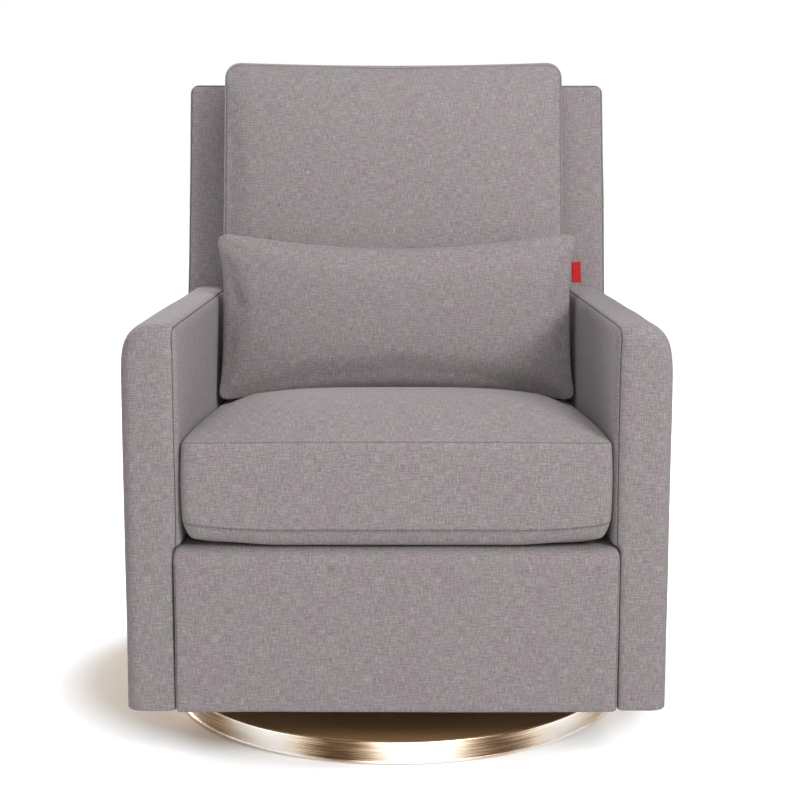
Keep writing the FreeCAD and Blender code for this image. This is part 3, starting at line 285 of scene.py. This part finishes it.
def painted(name, colour, roughness):
    """Powder-coated steel with a fine orange-peel grain and paler worn patches."""
    paint = Finish(name)
    grain = paint.noise(paint.place(), 900.0, 2.0)
    wear = paint.noise(paint.place(), 40.0, 4.0, 0.7)
    pale = tuple(min(1.0, part * 1.7 + 0.01) for part in colour)
    return paint.surface(
        Base_Color=paint.mix(colour, pale, wear),
        Roughness=wear * 0.2 + roughness,
        Normal=paint.bump(grain, 0.12, 0.0003),
    )


def bare_metal(name, dark, light, roughness):
    """Machined or plated metal with fine tool marks."""
    metal = Finish(name)
    x, y, z = metal.place().parts()
    marks = metal.noise(metal.vector(x * 60, y * 900, z * 900), 1.0, 2.0)
    stain = metal.noise(metal.place(), 60.0, 3.0)
    return metal.surface(
        Base_Color=metal.mix(dark, light, marks * 0.5 + stain * 0.5),
        Metallic=1.0,
        Roughness=stain * 0.2 + roughness,
        Normal=metal.bump(marks, 0.08, 0.0003),
    )


def timber(name):
    """Pale frame wood with long grain and darker pores."""
    wood = Finish(name)
    x, y, z = wood.place().parts()
    bend = wood.noise(wood.place(), 4.0, 2.0)
    grain = wood.noise(wood.vector(x * 14, y * 14 + bend * 3, z * 90), 1.0, 4.0, 0.6)
    pores = wood.noise(wood.vector(x * 90, y * 90, z * 600), 1.0, 2.0)
    colour = wood.mix((0.40, 0.25, 0.13), (0.66, 0.48, 0.29), grain)
    return wood.surface(
        Base_Color=wood.darken(colour, pores * 0.25),
        Roughness=pores * 0.2 + 0.55,
        Normal=wood.bump(pores + grain, 0.2, 0.0006),
    )


def soft_plain(name, dark, light, scale):
    """Felt, foam, rubber or moulded plastic: a mottled matt surface."""
    stuff = Finish(name)
    mottle = stuff.noise(stuff.place(), scale, 4.0, 0.7)
    return stuff.surface(
        Base_Color=stuff.mix(dark, light, mottle),
        Roughness=0.85,
        Normal=stuff.bump(mottle, 0.3, 0.0008),
    )


UPHOLSTERY = woven(
    "upholstery",
    (0.204, 0.176, 0.180),
    (0.333, 0.297, 0.303),
    (0.512, 0.474, 0.478),
    pink=(1.0, 0.94, 0.985),
    moss=(0.965, 0.985, 0.955),
    contrast=1.3,
)
FINISHES = {
    "upholstery": UPHOLSTERY,
    "foam": soft_plain("foam", (0.62, 0.56, 0.36), (0.76, 0.70, 0.50), 260.0),
    "deck_fabric": woven("deck_fabric", (0.16, 0.14, 0.14), (0.22, 0.20, 0.19), (0.3, 0.28, 0.27)),
    "dust_fabric": soft_plain("dust_fabric", (0.012, 0.012, 0.012), (0.03, 0.03, 0.03), 700.0),
    "webbing": woven("webbing", (0.05, 0.045, 0.04), (0.1, 0.09, 0.08), (0.2, 0.18, 0.16), thread=0.003),
    "red_tab": woven(
        "red_tab", (0.42, 0.012, 0.014), (0.58, 0.022, 0.024), (0.72, 0.05, 0.05), thread=0.0007, contrast=0.6
    ),
    "frame_wood": timber("frame_wood"),
    "base_metal": champagne("base_metal"),
    "black_steel": painted("black_steel", (0.018, 0.018, 0.019), 0.38),
    "bearing_steel": bare_metal("bearing_steel", (0.36, 0.36, 0.37), (0.6, 0.6, 0.6), 0.22),
    "fasteners": bare_metal("fasteners", (0.42, 0.42, 0.4), (0.66, 0.66, 0.62), 0.3),
    "spring_wire": painted("spring_wire", (0.05, 0.05, 0.055), 0.3),
    "bronze": bare_metal("bronze", (0.42, 0.24, 0.10), (0.62, 0.40, 0.18), 0.3),
    "nylon": soft_plain("nylon", (0.62, 0.62, 0.56), (0.74, 0.74, 0.68), 300.0),
    "stop_rubber": soft_plain("stop_rubber", (0.012, 0.012, 0.012), (0.03, 0.03, 0.03), 400.0),
    "felt": soft_plain("felt", (0.015, 0.015, 0.015), (0.05, 0.05, 0.05), 900.0),
}


def finish_mesh(mesh, finish):
    """Gives a mesh one finish and smooth shading."""
    mesh.materials.clear()
    mesh.materials.append(finish)
    for polygon in mesh.polygons:
        polygon.use_smooth = True


def dress_frame():
    """Gives every node of the frame its finish."""
    for part in frame["record"]["subparts"]:
        data = cad[part["node"]].data
        data.materials.clear()
        data.materials.append(FINISHES[part["material_slot"]])


def new_piece(name, mesh):
    piece = bpy.data.objects.new(name, mesh)
    bpy.context.scene.collection.objects.link(piece)
    return piece


def mesh_from(bm, name):
    """Ends the shaping of a mesh and gives it a name."""
    mesh = bpy.data.meshes.new(name)
    bm.to_mesh(mesh)
    bm.free()
    return mesh


def modify(piece, kind, **settings):
    """Adds a modifier to a piece."""
    made = piece.modifiers.new(kind.lower(), kind)
    for key, value in settings.items():
        setattr(made, key, value)


def bake_modifiers(piece):
    """Turns a piece and its modifiers into a plain mesh."""
    graph = bpy.context.evaluated_depsgraph_get()
    mesh = bpy.data.meshes.new_from_object(piece.evaluated_get(graph))
    piece.modifiers.clear()
    piece.data = mesh


def smooth(edge0, edge1, value):
    """A soft step from 0 at the first edge to 1 at the second."""
    share = min(1.0, max(0.0, (value - edge0) / (edge1 - edge0)))
    return share * share * (3 - 2 * share)


def outer_shell(node):
    """A copy of a node's mesh without the hollow inside it."""
    mesh = cad[node].data.copy()
    bm = bmesh.new()
    bm.from_mesh(mesh)
    bmesh.ops.remove_doubles(bm, verts=bm.verts, dist=1e-6)
    left = set(bm.verts)
    shells = []
    while left:
        shell = {left.pop()}
        edge = list(shell)
        while edge:
            for link in edge.pop().link_edges:
                for vert in link.verts:
                    if vert in left:
                        left.discard(vert)
                        shell.add(vert)
                        edge.append(vert)
        shells.append(shell)
    widest = max(shells, key=lambda s: max(v.co.z for v in s) - min(v.co.z for v in s))
    gone = [v for v in bm.verts if v not in widest]
    bmesh.ops.delete(bm, geom=gone, context="VERTS")
    bm.to_mesh(mesh)
    bm.free()
    return mesh


def spaced(points):
    """Points of a path of straight runs, evenly spaced."""
    points = [Vector(p) for p in points]
    dense = []
    for a, b in zip(points, points[1:]):
        count = max(1, int((b - a).length / SEAM_STEP))
        dense += [a.lerp(b, i / count) for i in range(count)]
    return [*dense, points[-1]]


def path_tree(paths, bm):
    """The paths laid on a surface, for finding what lies near them."""
    surface = BVHTree.FromBMesh(bm)
    dense = [surface.find_nearest(point)[0] for path in paths for point in spaced(path)]
    tree = kdtree.KDTree(len(dense))
    for i, point in enumerate(dense):
        tree.insert(point, i)
    tree.balance()
    return tree


def sew_paths(piece, paths):
    """Presses a seam into a piece along each path, on a mesh made finer beside it."""
    bm = bmesh.new()
    bm.from_mesh(piece.data)
    tree = path_tree(paths, bm)
    for reach in (0.008, 0.005, 0.003):
        close = {v for v in bm.verts if tree.find(v.co)[2] < reach}
        edges = [e for e in bm.edges if e.verts[0] in close and e.verts[1] in close]
        bmesh.ops.subdivide_edges(bm, edges=edges, cuts=1, use_grid_fill=True, smooth=0.0)
    # Painted shade: a weight along the seam that darkens the cloth's colour there.
    seam_shade_layer = bm.verts.layers.float.new("seam")
    bm.normal_update()
    for vert in bm.verts:
        away = tree.find(vert.co)[2]
        if away < SEAM_WIDTH * 3:
            pull = math.exp(-((away / SEAM_WIDTH) ** 2))
            vert[seam_shade_layer] = math.exp(-((away / (SEAM_WIDTH * 0.8)) ** 2))
            vert.co -= vert.normal * pull * SEAM_DEPTH
    bm.to_mesh(piece.data)
    bm.free()


def front_roll(co):
    """How much of an arm's softening acts at a point: all of it along the upper front edges."""
    return smooth(0.055, 0.02, co.y - ARM_FRONT) * smooth(0.05, 0.02, ARM_TOP - co.z)


def outer_padding(co):
    """How far the padding of an arm's outer side stands out."""
    side = smooth(0.32, 0.365, abs(co.x)) * smooth(ARM_TOP, 0.56, co.z)
    return Vector((math.copysign(ARM_PADDING * side * smooth(0.28, 0.12, co.y), co.x), 0, 0))


def upholster(node, seams, roll=None, padding=None):
    """A padded hard piece: the node's outer form with soft edges, slight unevenness and seams."""
    piece = new_piece(node + "_cover", outer_shell(node))
    modify(piece, "REMESH", mode="VOXEL", voxel_size=PADDING_GRAIN)
    modify(piece, "SMOOTH", factor=0.5, iterations=2)
    bake_modifiers(piece)
    if roll:
        soft = piece.vertex_groups.new(name="soft")
        for vert in piece.data.vertices:
            soft.add([vert.index], roll(vert.co), "REPLACE")
        modify(piece, "SMOOTH", vertex_group="soft", factor=0.5, iterations=36)
        bake_modifiers(piece)
    uneven = []
    for vert in piece.data.vertices:
        uneven.append(vert.co + vert.normal * UNEVENNESS * noise.noise(vert.co * 7.0))
    for vert, co in zip(piece.data.vertices, uneven):
        vert.co = co + padding(co) if padding else co
    sew_paths(piece, seams)
    finish_mesh(piece.data, UPHOLSTERY)
    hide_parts(node)
    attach(piece, "seat")
    return piece


def corner(centre, radius, start, end, across, up, steps=10):
    """Points of an arc in the plane of two directions."""
    centre, across, up = Vector(centre), Vector(across), Vector(up)
    points = []
    for i in range(steps + 1):
        turn = math.radians(start + (end - start) * i / steps)
        points.append(centre + across * radius * math.cos(turn) + up * radius * math.sin(turn))
    return points


def back_lean(z):
    """How far back the front of the back panel lies at a height."""
    return BACK_FRONT + max(0.0, z - KNEE) * math.tan(RECLINE)


def arm_seams(side):
    """The seam round the inner panel: back to front along the top, then down the front."""
    x = side * (ARM_INNER + SEAM_INSET)
    top = ARM_TOP - SEAM_INSET
    front = ARM_FRONT + SEAM_INSET
    turn = 0.020
    path = [(x, back_lean(top), top)]
    path += corner((x, front + turn, top - turn), turn, 90, 180, (0, 1, 0), (0, 0, 1))
    path.append((x, front, UNDERSIDE))
    outer_x = side * (CHAIR_HALF - SEAM_INSET)
    rear_y = BACK_FRONT - 0.0015
    shoulder = 0.6
    rear = [(outer_x, rear_y, UNDERSIDE), (outer_x, rear_y, KNEE)]
    rear.append((outer_x, back_lean(shoulder), shoulder))
    return [path, rear]


def back_seams():
    """The seam between the back's face and its boxing, and round the outside back panel."""
    side = CHAIR_HALF - SEAM_INSET
    top = BACK_TOP - SEAM_INSET
    back = (top - KNEE) * math.tan(RECLINE)
    paths = []
    for y in (BACK_FRONT + SEAM_INSET, BACK_REAR - SEAM_INSET):
        ends = []
        for x in (-side, side):
            ends.append((x, y + back, top))
            paths.append([(x, y, UNDERSIDE), (x, y, KNEE), ends[-1]])
        paths.append(ends)
    return paths


def border_seams():
    """The seams down the border's two front edges."""
    side = BORDER_HALF - 0.003
    front = BORDER_FRONT + 0.003
    return [[(x, front, UNDERSIDE), (x, front, BORDER_SEAM_TOP)] for x in (-side, side)]


def box_grid(counts):
    """The surface of a box as quads: unit points from -1 to 1 each way, and their faces."""
    index = {}
    points = []

    def point(cell):
        if cell not in index:
            index[cell] = len(points)
            points.append([2 * at / count - 1 for at, count in zip(cell, counts)])
        return index[cell]

    faces = []
    for axis in range(3):
        one, two = (axis + 1) % 3, (axis + 2) % 3
        for level in (0, counts[axis]):
            for i in range(counts[one]):
                for j in range(counts[two]):
                    ring = []
                    for di, dj in ((0, 0), (1, 0), (1, 1), (0, 1)):
                        cell = [0, 0, 0]
                        cell[axis], cell[one], cell[two] = level, i + di, j + dj
                        ring.append(point(tuple(cell)))
                    faces.append(ring if level else ring[::-1])
    return points, faces


def round_off(u, v, half_u, half_v, radius):
    """Moves a point of a rectangle so that the rectangle's corners become round."""
    x, y = u * half_u, v * half_v
    over_x = abs(x) - (half_u - radius)
    over_y = abs(y) - (half_v - radius)
    if over_x > 0 and over_y > 0:
        shrink = max(over_x, over_y) / math.hypot(over_x, over_y)
        x = math.copysign(half_u - radius + over_x * shrink, x)
        y = math.copysign(half_v - radius + over_y * shrink, y)
    return x, y


def stuff(piece, keep):
    """Fills a sewn cover by cloth simulation under inside pressure, and keeps part of the pull."""
    cloth = piece.modifiers.new("filling", "CLOTH")
    cloth.settings.quality = 4
    cloth.settings.mass = 0.3
    cloth.settings.tension_stiffness = 20
    cloth.settings.compression_stiffness = 20
    cloth.settings.bending_stiffness = 1.5
    cloth.settings.use_pressure = True
    cloth.settings.uniform_pressure_force = 4
    cloth.settings.effector_weights.gravity = 0
    scene = bpy.context.scene
    rest = [(vert.co.copy(), vert.normal.copy()) for vert in piece.data.vertices]
    for step in range(1, 21):
        scene.frame_set(step)
    graph = bpy.context.evaluated_depsgraph_get()
    swollen = [vert.co.copy() for vert in piece.evaluated_get(graph).data.vertices]
    piece.modifiers.clear()
    scene.frame_set(1)
    filled = []
    for (old, normal), new in zip(rest, swollen):
        step = new - old
        out = step.dot(normal)
        side = (step - normal * out) * 0.25
        out = min(FILLING_CAP, max(-0.001, out * 0.3))
        filled.append(keep(old + side + normal * out))
    for vert, co in zip(piece.data.vertices, filled):
        vert.co = co


def sew_edges(piece, is_seam):
    """Sews a cover along its grid lines: each seam edge becomes a narrow pressed line."""
    bm = bmesh.new()
    bm.from_mesh(piece.data)
    # Painted shade: a weight along the pressed seam lines that darkens the cloth's colour there.
    seam_shade_layer = bm.verts.layers.float.new("seam")
    bm.verts.ensure_lookup_table()
    edges = [e for e in bm.edges if is_seam(e.verts[0].index, e.verts[1].index)]
    made = bmesh.ops.bevel(
        bm, geom=edges, offset=EDGE_SEAM_WIDTH, offset_type="OFFSET", segments=2, profile=0.5, affect="EDGES"
    )
    strip = set(made["faces"])
    bm.normal_update()
    middle = [v for v in made["verts"] if all(f in strip for f in v.link_faces)]
    for vert in middle:
        vert[seam_shade_layer] = 0.6
        vert.co -= vert.normal * SEAM_DEPTH
    bm.to_mesh(piece.data)
    bm.free()


def cushion(node, counts, form, seam, keep, place, body):
    """A loose cushion: a sewn cover shaped by a form, stuffed, with its seams pressed in."""
    points, faces = box_grid(counts)
    mesh = bpy.data.meshes.new(node + "_cover")
    mesh.from_pydata([form(*p) for p in points], [], faces)
    mesh.update()
    piece = new_piece(node + "_cover", mesh)
    stuff(piece, keep)
    sew_edges(piece, lambda i, j: seam(points[i], points[j]))
    modify(piece, "SUBSURF", levels=1, render_levels=1)
    bake_modifiers(piece)
    piece.data.transform(place)
    finish_mesh(piece.data, UPHOLSTERY)
    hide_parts(node)
    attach(piece, body)
    return piece


def on_rim(p, q, one, two):
    """Whether two neighbouring points both lie on the same side of a panel."""
    for axis in (one, two):
        if abs(p[axis]) == 1 and p[axis] == q[axis]:
            return True
    return False


SEAT_HALF = 0.2975
SEAT_LONG = 0.672
SEAT_SIDE = 0.1475  # height of the top seam
SEAT_ROLL = 0.0235  # height of the bottom seam
SEAT_CROWN = 0.0455


def seat_crown(a, b):
    """Rise of the seat's top over its seam: full across, highest a third of the way back."""
    share = (b + 1) / 2
    across = (1 - abs(a) ** 3.5) ** 0.75
    front = 1 - (1 - smooth(0.0, 0.30, share)) ** 2
    rear = 1 - 0.86 * smooth(0.30, 1.05, share)
    return SEAT_CROWN * across * front * rear


def seat_roll(a, b):
    """Share of the underside's rise to its seam: a tight roll at mid side, a wide one at corners."""
    edge = 0.0
    for near, far, half in ((a, b, SEAT_HALF), (b, a, SEAT_LONG / 2)):
        reach = 0.024 + 0.085 * smooth(0.55, 1.0, abs(far))
        share = 1 - min(1.0, (1 - abs(near)) * half / reach)
        edge = max(edge, 1 - (1 - share**3) ** (1 / 3))
    return edge


def seat_form(a, b, c):
    """The seat cushion in its own frame: its front at y 0, its underside at z 0."""
    x, y = round_off(a, b, SEAT_HALF, SEAT_LONG / 2, 0.015)
    rim = max(abs(a), abs(b))
    low = SEAT_ROLL + 0.012 * (abs(a) * abs(b)) ** 6
    top = SEAT_SIDE - 0.004 * abs(b) ** 10
    if c >= 1:
        z = top + seat_crown(a, b)
    elif c <= -1:
        z = low * seat_roll(a, b) - 0.0018 * smooth(0.955, 0.985, -b)
    else:
        z = low + (top - low) * (c + 1) / 2
    swell = 0.002 * (1 - c * c) * smooth(0.9, 1.0, rim)
    x *= 1 + swell / SEAT_HALF * abs(a)
    y *= 1 + swell / (SEAT_LONG / 2) * abs(b)
    return x, y + SEAT_LONG / 2 + 0.003, z


def seat_seam(p, q):
    return p[2] == q[2] and abs(p[2]) == 1 and on_rim(p, q, 0, 1)


def seat_keep(co):
    """Holds the filled cover between the arms, on the deck and short of the back."""
    co.x = min(0.2982, max(-0.2982, co.x))
    co.z = max(0.0 if co.y > 0.03 else -0.0018, co.z)
    co.y = min(0.6755, max(-0.004, co.y))
    return co


BACK_HALF = 0.2955
BACK_LOW = 0.466
BACK_HIGH = 1.026
BACK_SIDE = 0.108  # depth of the boxing
BACK_CROWN = 0.036


def back_form(a, b, c):
    """The back cushion in place: b runs from its front to its rear, c from bottom to top."""
    x, up = round_off(a, c, BACK_HALF, (BACK_HIGH - BACK_LOW) / 2, 0.026)
    rim = max(abs(a), abs(c))
    z = (BACK_HIGH + BACK_LOW) / 2 + up
    dip = 0.006 * (1 - a * a) * smooth(0.6, 1.0, c)
    behind = BACK_FRONT - 0.0012 + (z - KNEE) * math.tan(RECLINE)
    side = BACK_SIDE * (1 - 0.16 * smooth(0.90, 1.0, abs(c)))
    crown = BACK_CROWN * (1 - abs(a) ** 3.2) ** 0.8 * (1 - abs(c) ** 3.2) ** 0.8
    if b <= -1:
        y = behind - side - crown
    elif b >= 1:
        y = behind
    else:
        y = behind - side * (1 - b) / 2
    swell = 0.004 * (1 - b * b) * smooth(0.9, 1.0, rim)
    x += math.copysign(swell, x) * abs(a) ** 4
    return x, y, z - dip + math.copysign(swell, c) * abs(c) ** 4


def back_seam(p, q):
    return p[1] == q[1] and abs(p[1]) == 1 and on_rim(p, q, 0, 2)


def back_keep(co):
    """Holds the filled cover between the arms; above them it may stand a little wider."""
    rise = smooth(0.64, 0.74, co.z)
    half = 0.2978 + 0.006 * rise
    co.x = min(half, max(-half, co.x - 0.0055 * rise))
    co.y = min(BACK_FRONT - 0.001 + (co.z - KNEE) * math.tan(RECLINE), co.y)
    co.z = max(0.4655, co.z)
    return co


PILLOW_HALF = 0.2905
PILLOW_HIGH = 0.291
PILLOW_LEVEL = 0.457
PILLOW_EDGE = 0.0025
PILLOW_FAT = 0.043


def pillow_form(a, b, c):
    """The lumbar pillow in its own frame: knife-edged, its corners drawn out, lower corners at z 0."""
    x, up = round_off(a, c, PILLOW_HALF, PILLOW_HIGH / 2, 0.040 if c > 0 else 0.022)
    rise = up / (PILLOW_HIGH / 2)
    ear, sag = (0.028, 0.0315) if rise > 0 else (0.010, 0.0225)
    x += math.copysign(ear * abs(rise) ** 4 * abs(a) ** 3, a)
    z = PILLOW_HIGH / 2 + up - math.copysign(sag * (1 - a * a) * abs(rise) ** 2, rise)
    fat = (1 - abs(a) ** 2.6) ** 0.62 * (1 - abs(rise) ** 2.4) ** 0.62
    return x, b * (PILLOW_EDGE + PILLOW_FAT * fat), z


def pillow_seam(p, q):
    return p[1] == q[1] == 0 and on_rim(p, q, 0, 2)


def pillow_keep(co):
    """Holds the filled cover clear of the back cushion."""
    co.y = min(0.0505, max(-0.056, co.y))
    return co


def leaning(angle, y, z):
    """A place in the chair, tipped back by an angle."""
    return Matrix.Translation((0, y, z)) @ Matrix.Rotation(-angle, 4, "X")


def cushions():
    """The seat cushion on the pitched deck, the back cushion, and the pillow round its tab's seam."""
    deck_edge = (-0.332, 0.322)
    front = -0.385
    seat_z = deck_edge[1] + (deck_edge[0] - front) * math.tan(DECK_PITCH) + 0.0012
    place = leaning(DECK_PITCH, front, seat_z)
    cushion("seat_cushion", (80, 90, 18), seat_form, seat_seam, seat_keep, place, "seat_cushion")
    place = Matrix.Identity(4)
    cushion("back_cushion", (80, 14, 76), back_form, back_seam, back_keep, place, "seat")
    low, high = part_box("pillow_tab")
    tab = (low + high) / 2
    place = leaning(RECLINE, tab.y - (tab.z - PILLOW_LEVEL) * math.tan(RECLINE), PILLOW_LEVEL)
    cushion("lumbar_pillow", (90, 2, 44), pillow_form, pillow_seam, pillow_keep, place, "lumbar_pillow")


def pillow_tab():
    """The tab in the pillow's end seam: a blank folded ribbon with a rolled outer edge."""
    low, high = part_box("pillow_tab")
    centre = (low + high) / 2
    reach = (high.x - low.x) / 2
    tall = 0.0178
    fold = 0.0006
    sewn = 0.003
    loop = [(-reach - sewn, fold), (reach - fold, fold)]
    for i in range(1, 6):
        turn = math.radians(90 - 30 * i)
        loop.append((reach - fold + fold * math.cos(turn), fold * math.sin(turn)))
    loop.append((reach - fold, -fold))
    loop.append((-reach - sewn, -fold))
    bm = bmesh.new()
    rows = 14
    grid = []
    for k in range(rows + 1):
        z = tall * (2 * k / rows - 1)
        wave = 0.00025 * math.sin(k * 1.1)
        grid.append([bm.verts.new((x, y + wave * (x + reach) * 60, z)) for x, y in loop])
    for one, two in zip(grid, grid[1:]):
        for i in range(len(loop) - 1):
            bm.faces.new((one[i], one[i + 1], two[i + 1], two[i]))
    ribbon = new_piece("pillow_tab_ribbon", mesh_from(bm, "pillow_tab_ribbon"))
    modify(ribbon, "SOLIDIFY", thickness=0.0004, offset=0)
    modify(ribbon, "SUBSURF", levels=1, render_levels=1)
    bake_modifiers(ribbon)
    ribbon.data.transform(Matrix.Translation(centre) @ Matrix.Rotation(-RECLINE, 4, "X"))
    finish_mesh(ribbon.data, FINISHES["red_tab"])
    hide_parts("pillow_tab")
    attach(ribbon, "lumbar_pillow")


def stretched_cloth(node, slot_name, level):
    """A thin cloth fixed at its edges over the node's outline, its surface at a given level."""
    low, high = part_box(node)
    bm = bmesh.new()
    bmesh.ops.create_grid(bm, x_segments=90, y_segments=90, size=0.5)
    for vert in bm.verts:
        rim = max(abs(vert.co.x), abs(vert.co.y)) * 2
        x = (low.x + high.x) / 2 + vert.co.x * (high.x - low.x)
        y = (low.y + high.y) / 2 + vert.co.y * (high.y - low.y)
        vert.co = Vector((x, y, level(x, y, 1 - rim**6)))
    sheet = new_piece(node + "_sheet", mesh_from(bm, node + "_sheet"))
    modify(sheet, "SOLIDIFY", thickness=0.0007, offset=0)
    bake_modifiers(sheet)
    finish_mesh(sheet.data, FINISHES[slot_name])
    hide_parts(node)
    length = math.hypot(high.y - low.y, level(0, low.y, 0) - level(0, high.y, 0))
    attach(sheet, "seat")


def seat_cloths():
    """The cloth over the seat springs, and the dust cover tacked under the frame."""
    low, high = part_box("deck_cloth")
    wire_low, wire_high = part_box("seat_springs")
    pitch = (wire_high.x - wire_low.x) / 5

    def deck_level(x, y, free):
        wave = 0.0005 * (1 + math.cos(2 * math.pi * x / pitch))
        dip = wave + 0.0003 * noise.noise(Vector((x * 20, y * 20, 0)))
        return high.z - 0.0006 - (y - low.y) * math.tan(DECK_PITCH) - dip * free

    under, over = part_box("dust_cover")

    def dust_level(x, y, free):
        crease = 0.0008 * noise.noise(Vector((x * 9, y * 16, 4)))
        return (under.z + over.z) / 2 - (0.0018 * free + crease) * free

    stretched_cloth("deck_cloth", "deck_fabric", deck_level)
    stretched_cloth("dust_cover", "dust_fabric", dust_level)


def studio():
    """White ground that keeps the chair's shadow and adds a painted warm shadow close round the chair, soft
    lamps and a white surround.
    """
    scene = bpy.context.scene
    scene.view_settings.view_transform = "Standard"
    bpy.ops.mesh.primitive_plane_add(size=60)
    ground = bpy.context.object
    ground.name = "studio_floor"
    white = Finish("studio_white")
    matt = white.node("ShaderNodeBsdfDiffuse", {}, {"Color": (0.8, 0.79, 0.78)})
    x, y, z = white.place().parts()
    # Painted shadow: distance from a point a little left of and behind the chair's centre, where the chair's
    # shadow falls, sets how dark and warm the ground is painted.
    beside = x + 0.06
    behind = (y - 0.08) * 1.2
    away = (beside * beside + behind * behind) ** 0.5 * 0.25
    near, middle, clear = (0.06, 0.04, 0.02), (0.52, 0.52, 0.52), (1.0, 1.0, 1.0)
    # Painted shadow: the emission seen by camera and gloss rays is near black close to the chair and full
    # white further out.
    far = white.ramp(away, [(0.11, near), (0.133, middle), (0.16, clear)])
    glow_with_painted_shadow = white.node("ShaderNodeEmission", {}, {"Color": far, "Strength": 1.0})
    # Painted shadow: a warm tan tint on the ground's colour close to the chair.
    floor = white.ramp(away, [(0.10, (0.94, 0.85, 0.76)), (0.13, (0.95, 0.96, 0.97))])
    diffuse_with_painted_shadow = white.node("ShaderNodeBsdfDiffuse", {}, {"Color": floor})
    lit = white.node("ShaderNodeAddShader", {}, [diffuse_with_painted_shadow, glow_with_painted_shadow])
    mixed = white.node("ShaderNodeMixShader", {}, [white.seen(), matt, lit])
    white.node("ShaderNodeOutputMaterial", {}, {"Surface": mixed})
    ground.data.materials.append(white.owner)

    surround = Finish("studio_surround", bpy.data.worlds)
    scene.world = surround.owner
    ambient = 0.24
    level = surround.seen() * (1.0 - ambient) + ambient
    back = surround.node("ShaderNodeBackground", {}, {"Color": (1, 1, 1), "Strength": level})
    surround.node("ShaderNodeOutputWorld", {}, {"Surface": back})

    lamps = (
        ("overhead", (0.3, -0.5, 3.0), (0, 0.0, 0.4), 1.4, 22.0),
        ("key", (2.3, -3.1, 2.5), (-0.1, 0, 0.5), 1.4, 80.0),
        ("fill", (-0.5, -3.7, 1.2), (0, 0, 0.45), 1.4, 22.0),
        ("rear", (-2.2, 2.7, 2.0), (0, 0.2, 0.5), 1.8, 80.0),
    )
    for name, spot, aim, size, power in lamps:
        data = bpy.data.lights.new(name, "AREA")
        data.size = size
        data.energy = power
        lamp = bpy.data.objects.new(name, data)
        scene.collection.objects.link(lamp)
        lamp.location = spot
        lamp.rotation_euler = (Vector(aim) - Vector(spot)).to_track_quat("-Z", "Y").to_euler()


def camera():
    """The photograph's view: from in front, at the height of the back's top, a little downwards."""
    data = bpy.data.cameras.new("camera")
    data.sensor_width = 36
    data.lens = 72
    data.shift_x = 3.5 / 800
    eye = bpy.data.objects.new("camera", data)
    bpy.context.scene.collection.objects.link(eye)
    eye.location = (0, -2.532, 0.8455)
    eye.rotation_euler = (math.radians(90 - 8.32), 0, 0)
    bpy.context.scene.camera = eye


dress_frame()
for hand, side in (("left", -1), ("right", 1)):
    upholster("arm_" + hand, arm_seams(side), front_roll, outer_padding)
upholster("back_panel", back_seams())
upholster("front_border", border_seams())
cushions()
pillow_tab()
seat_cloths()
studio()
camera()
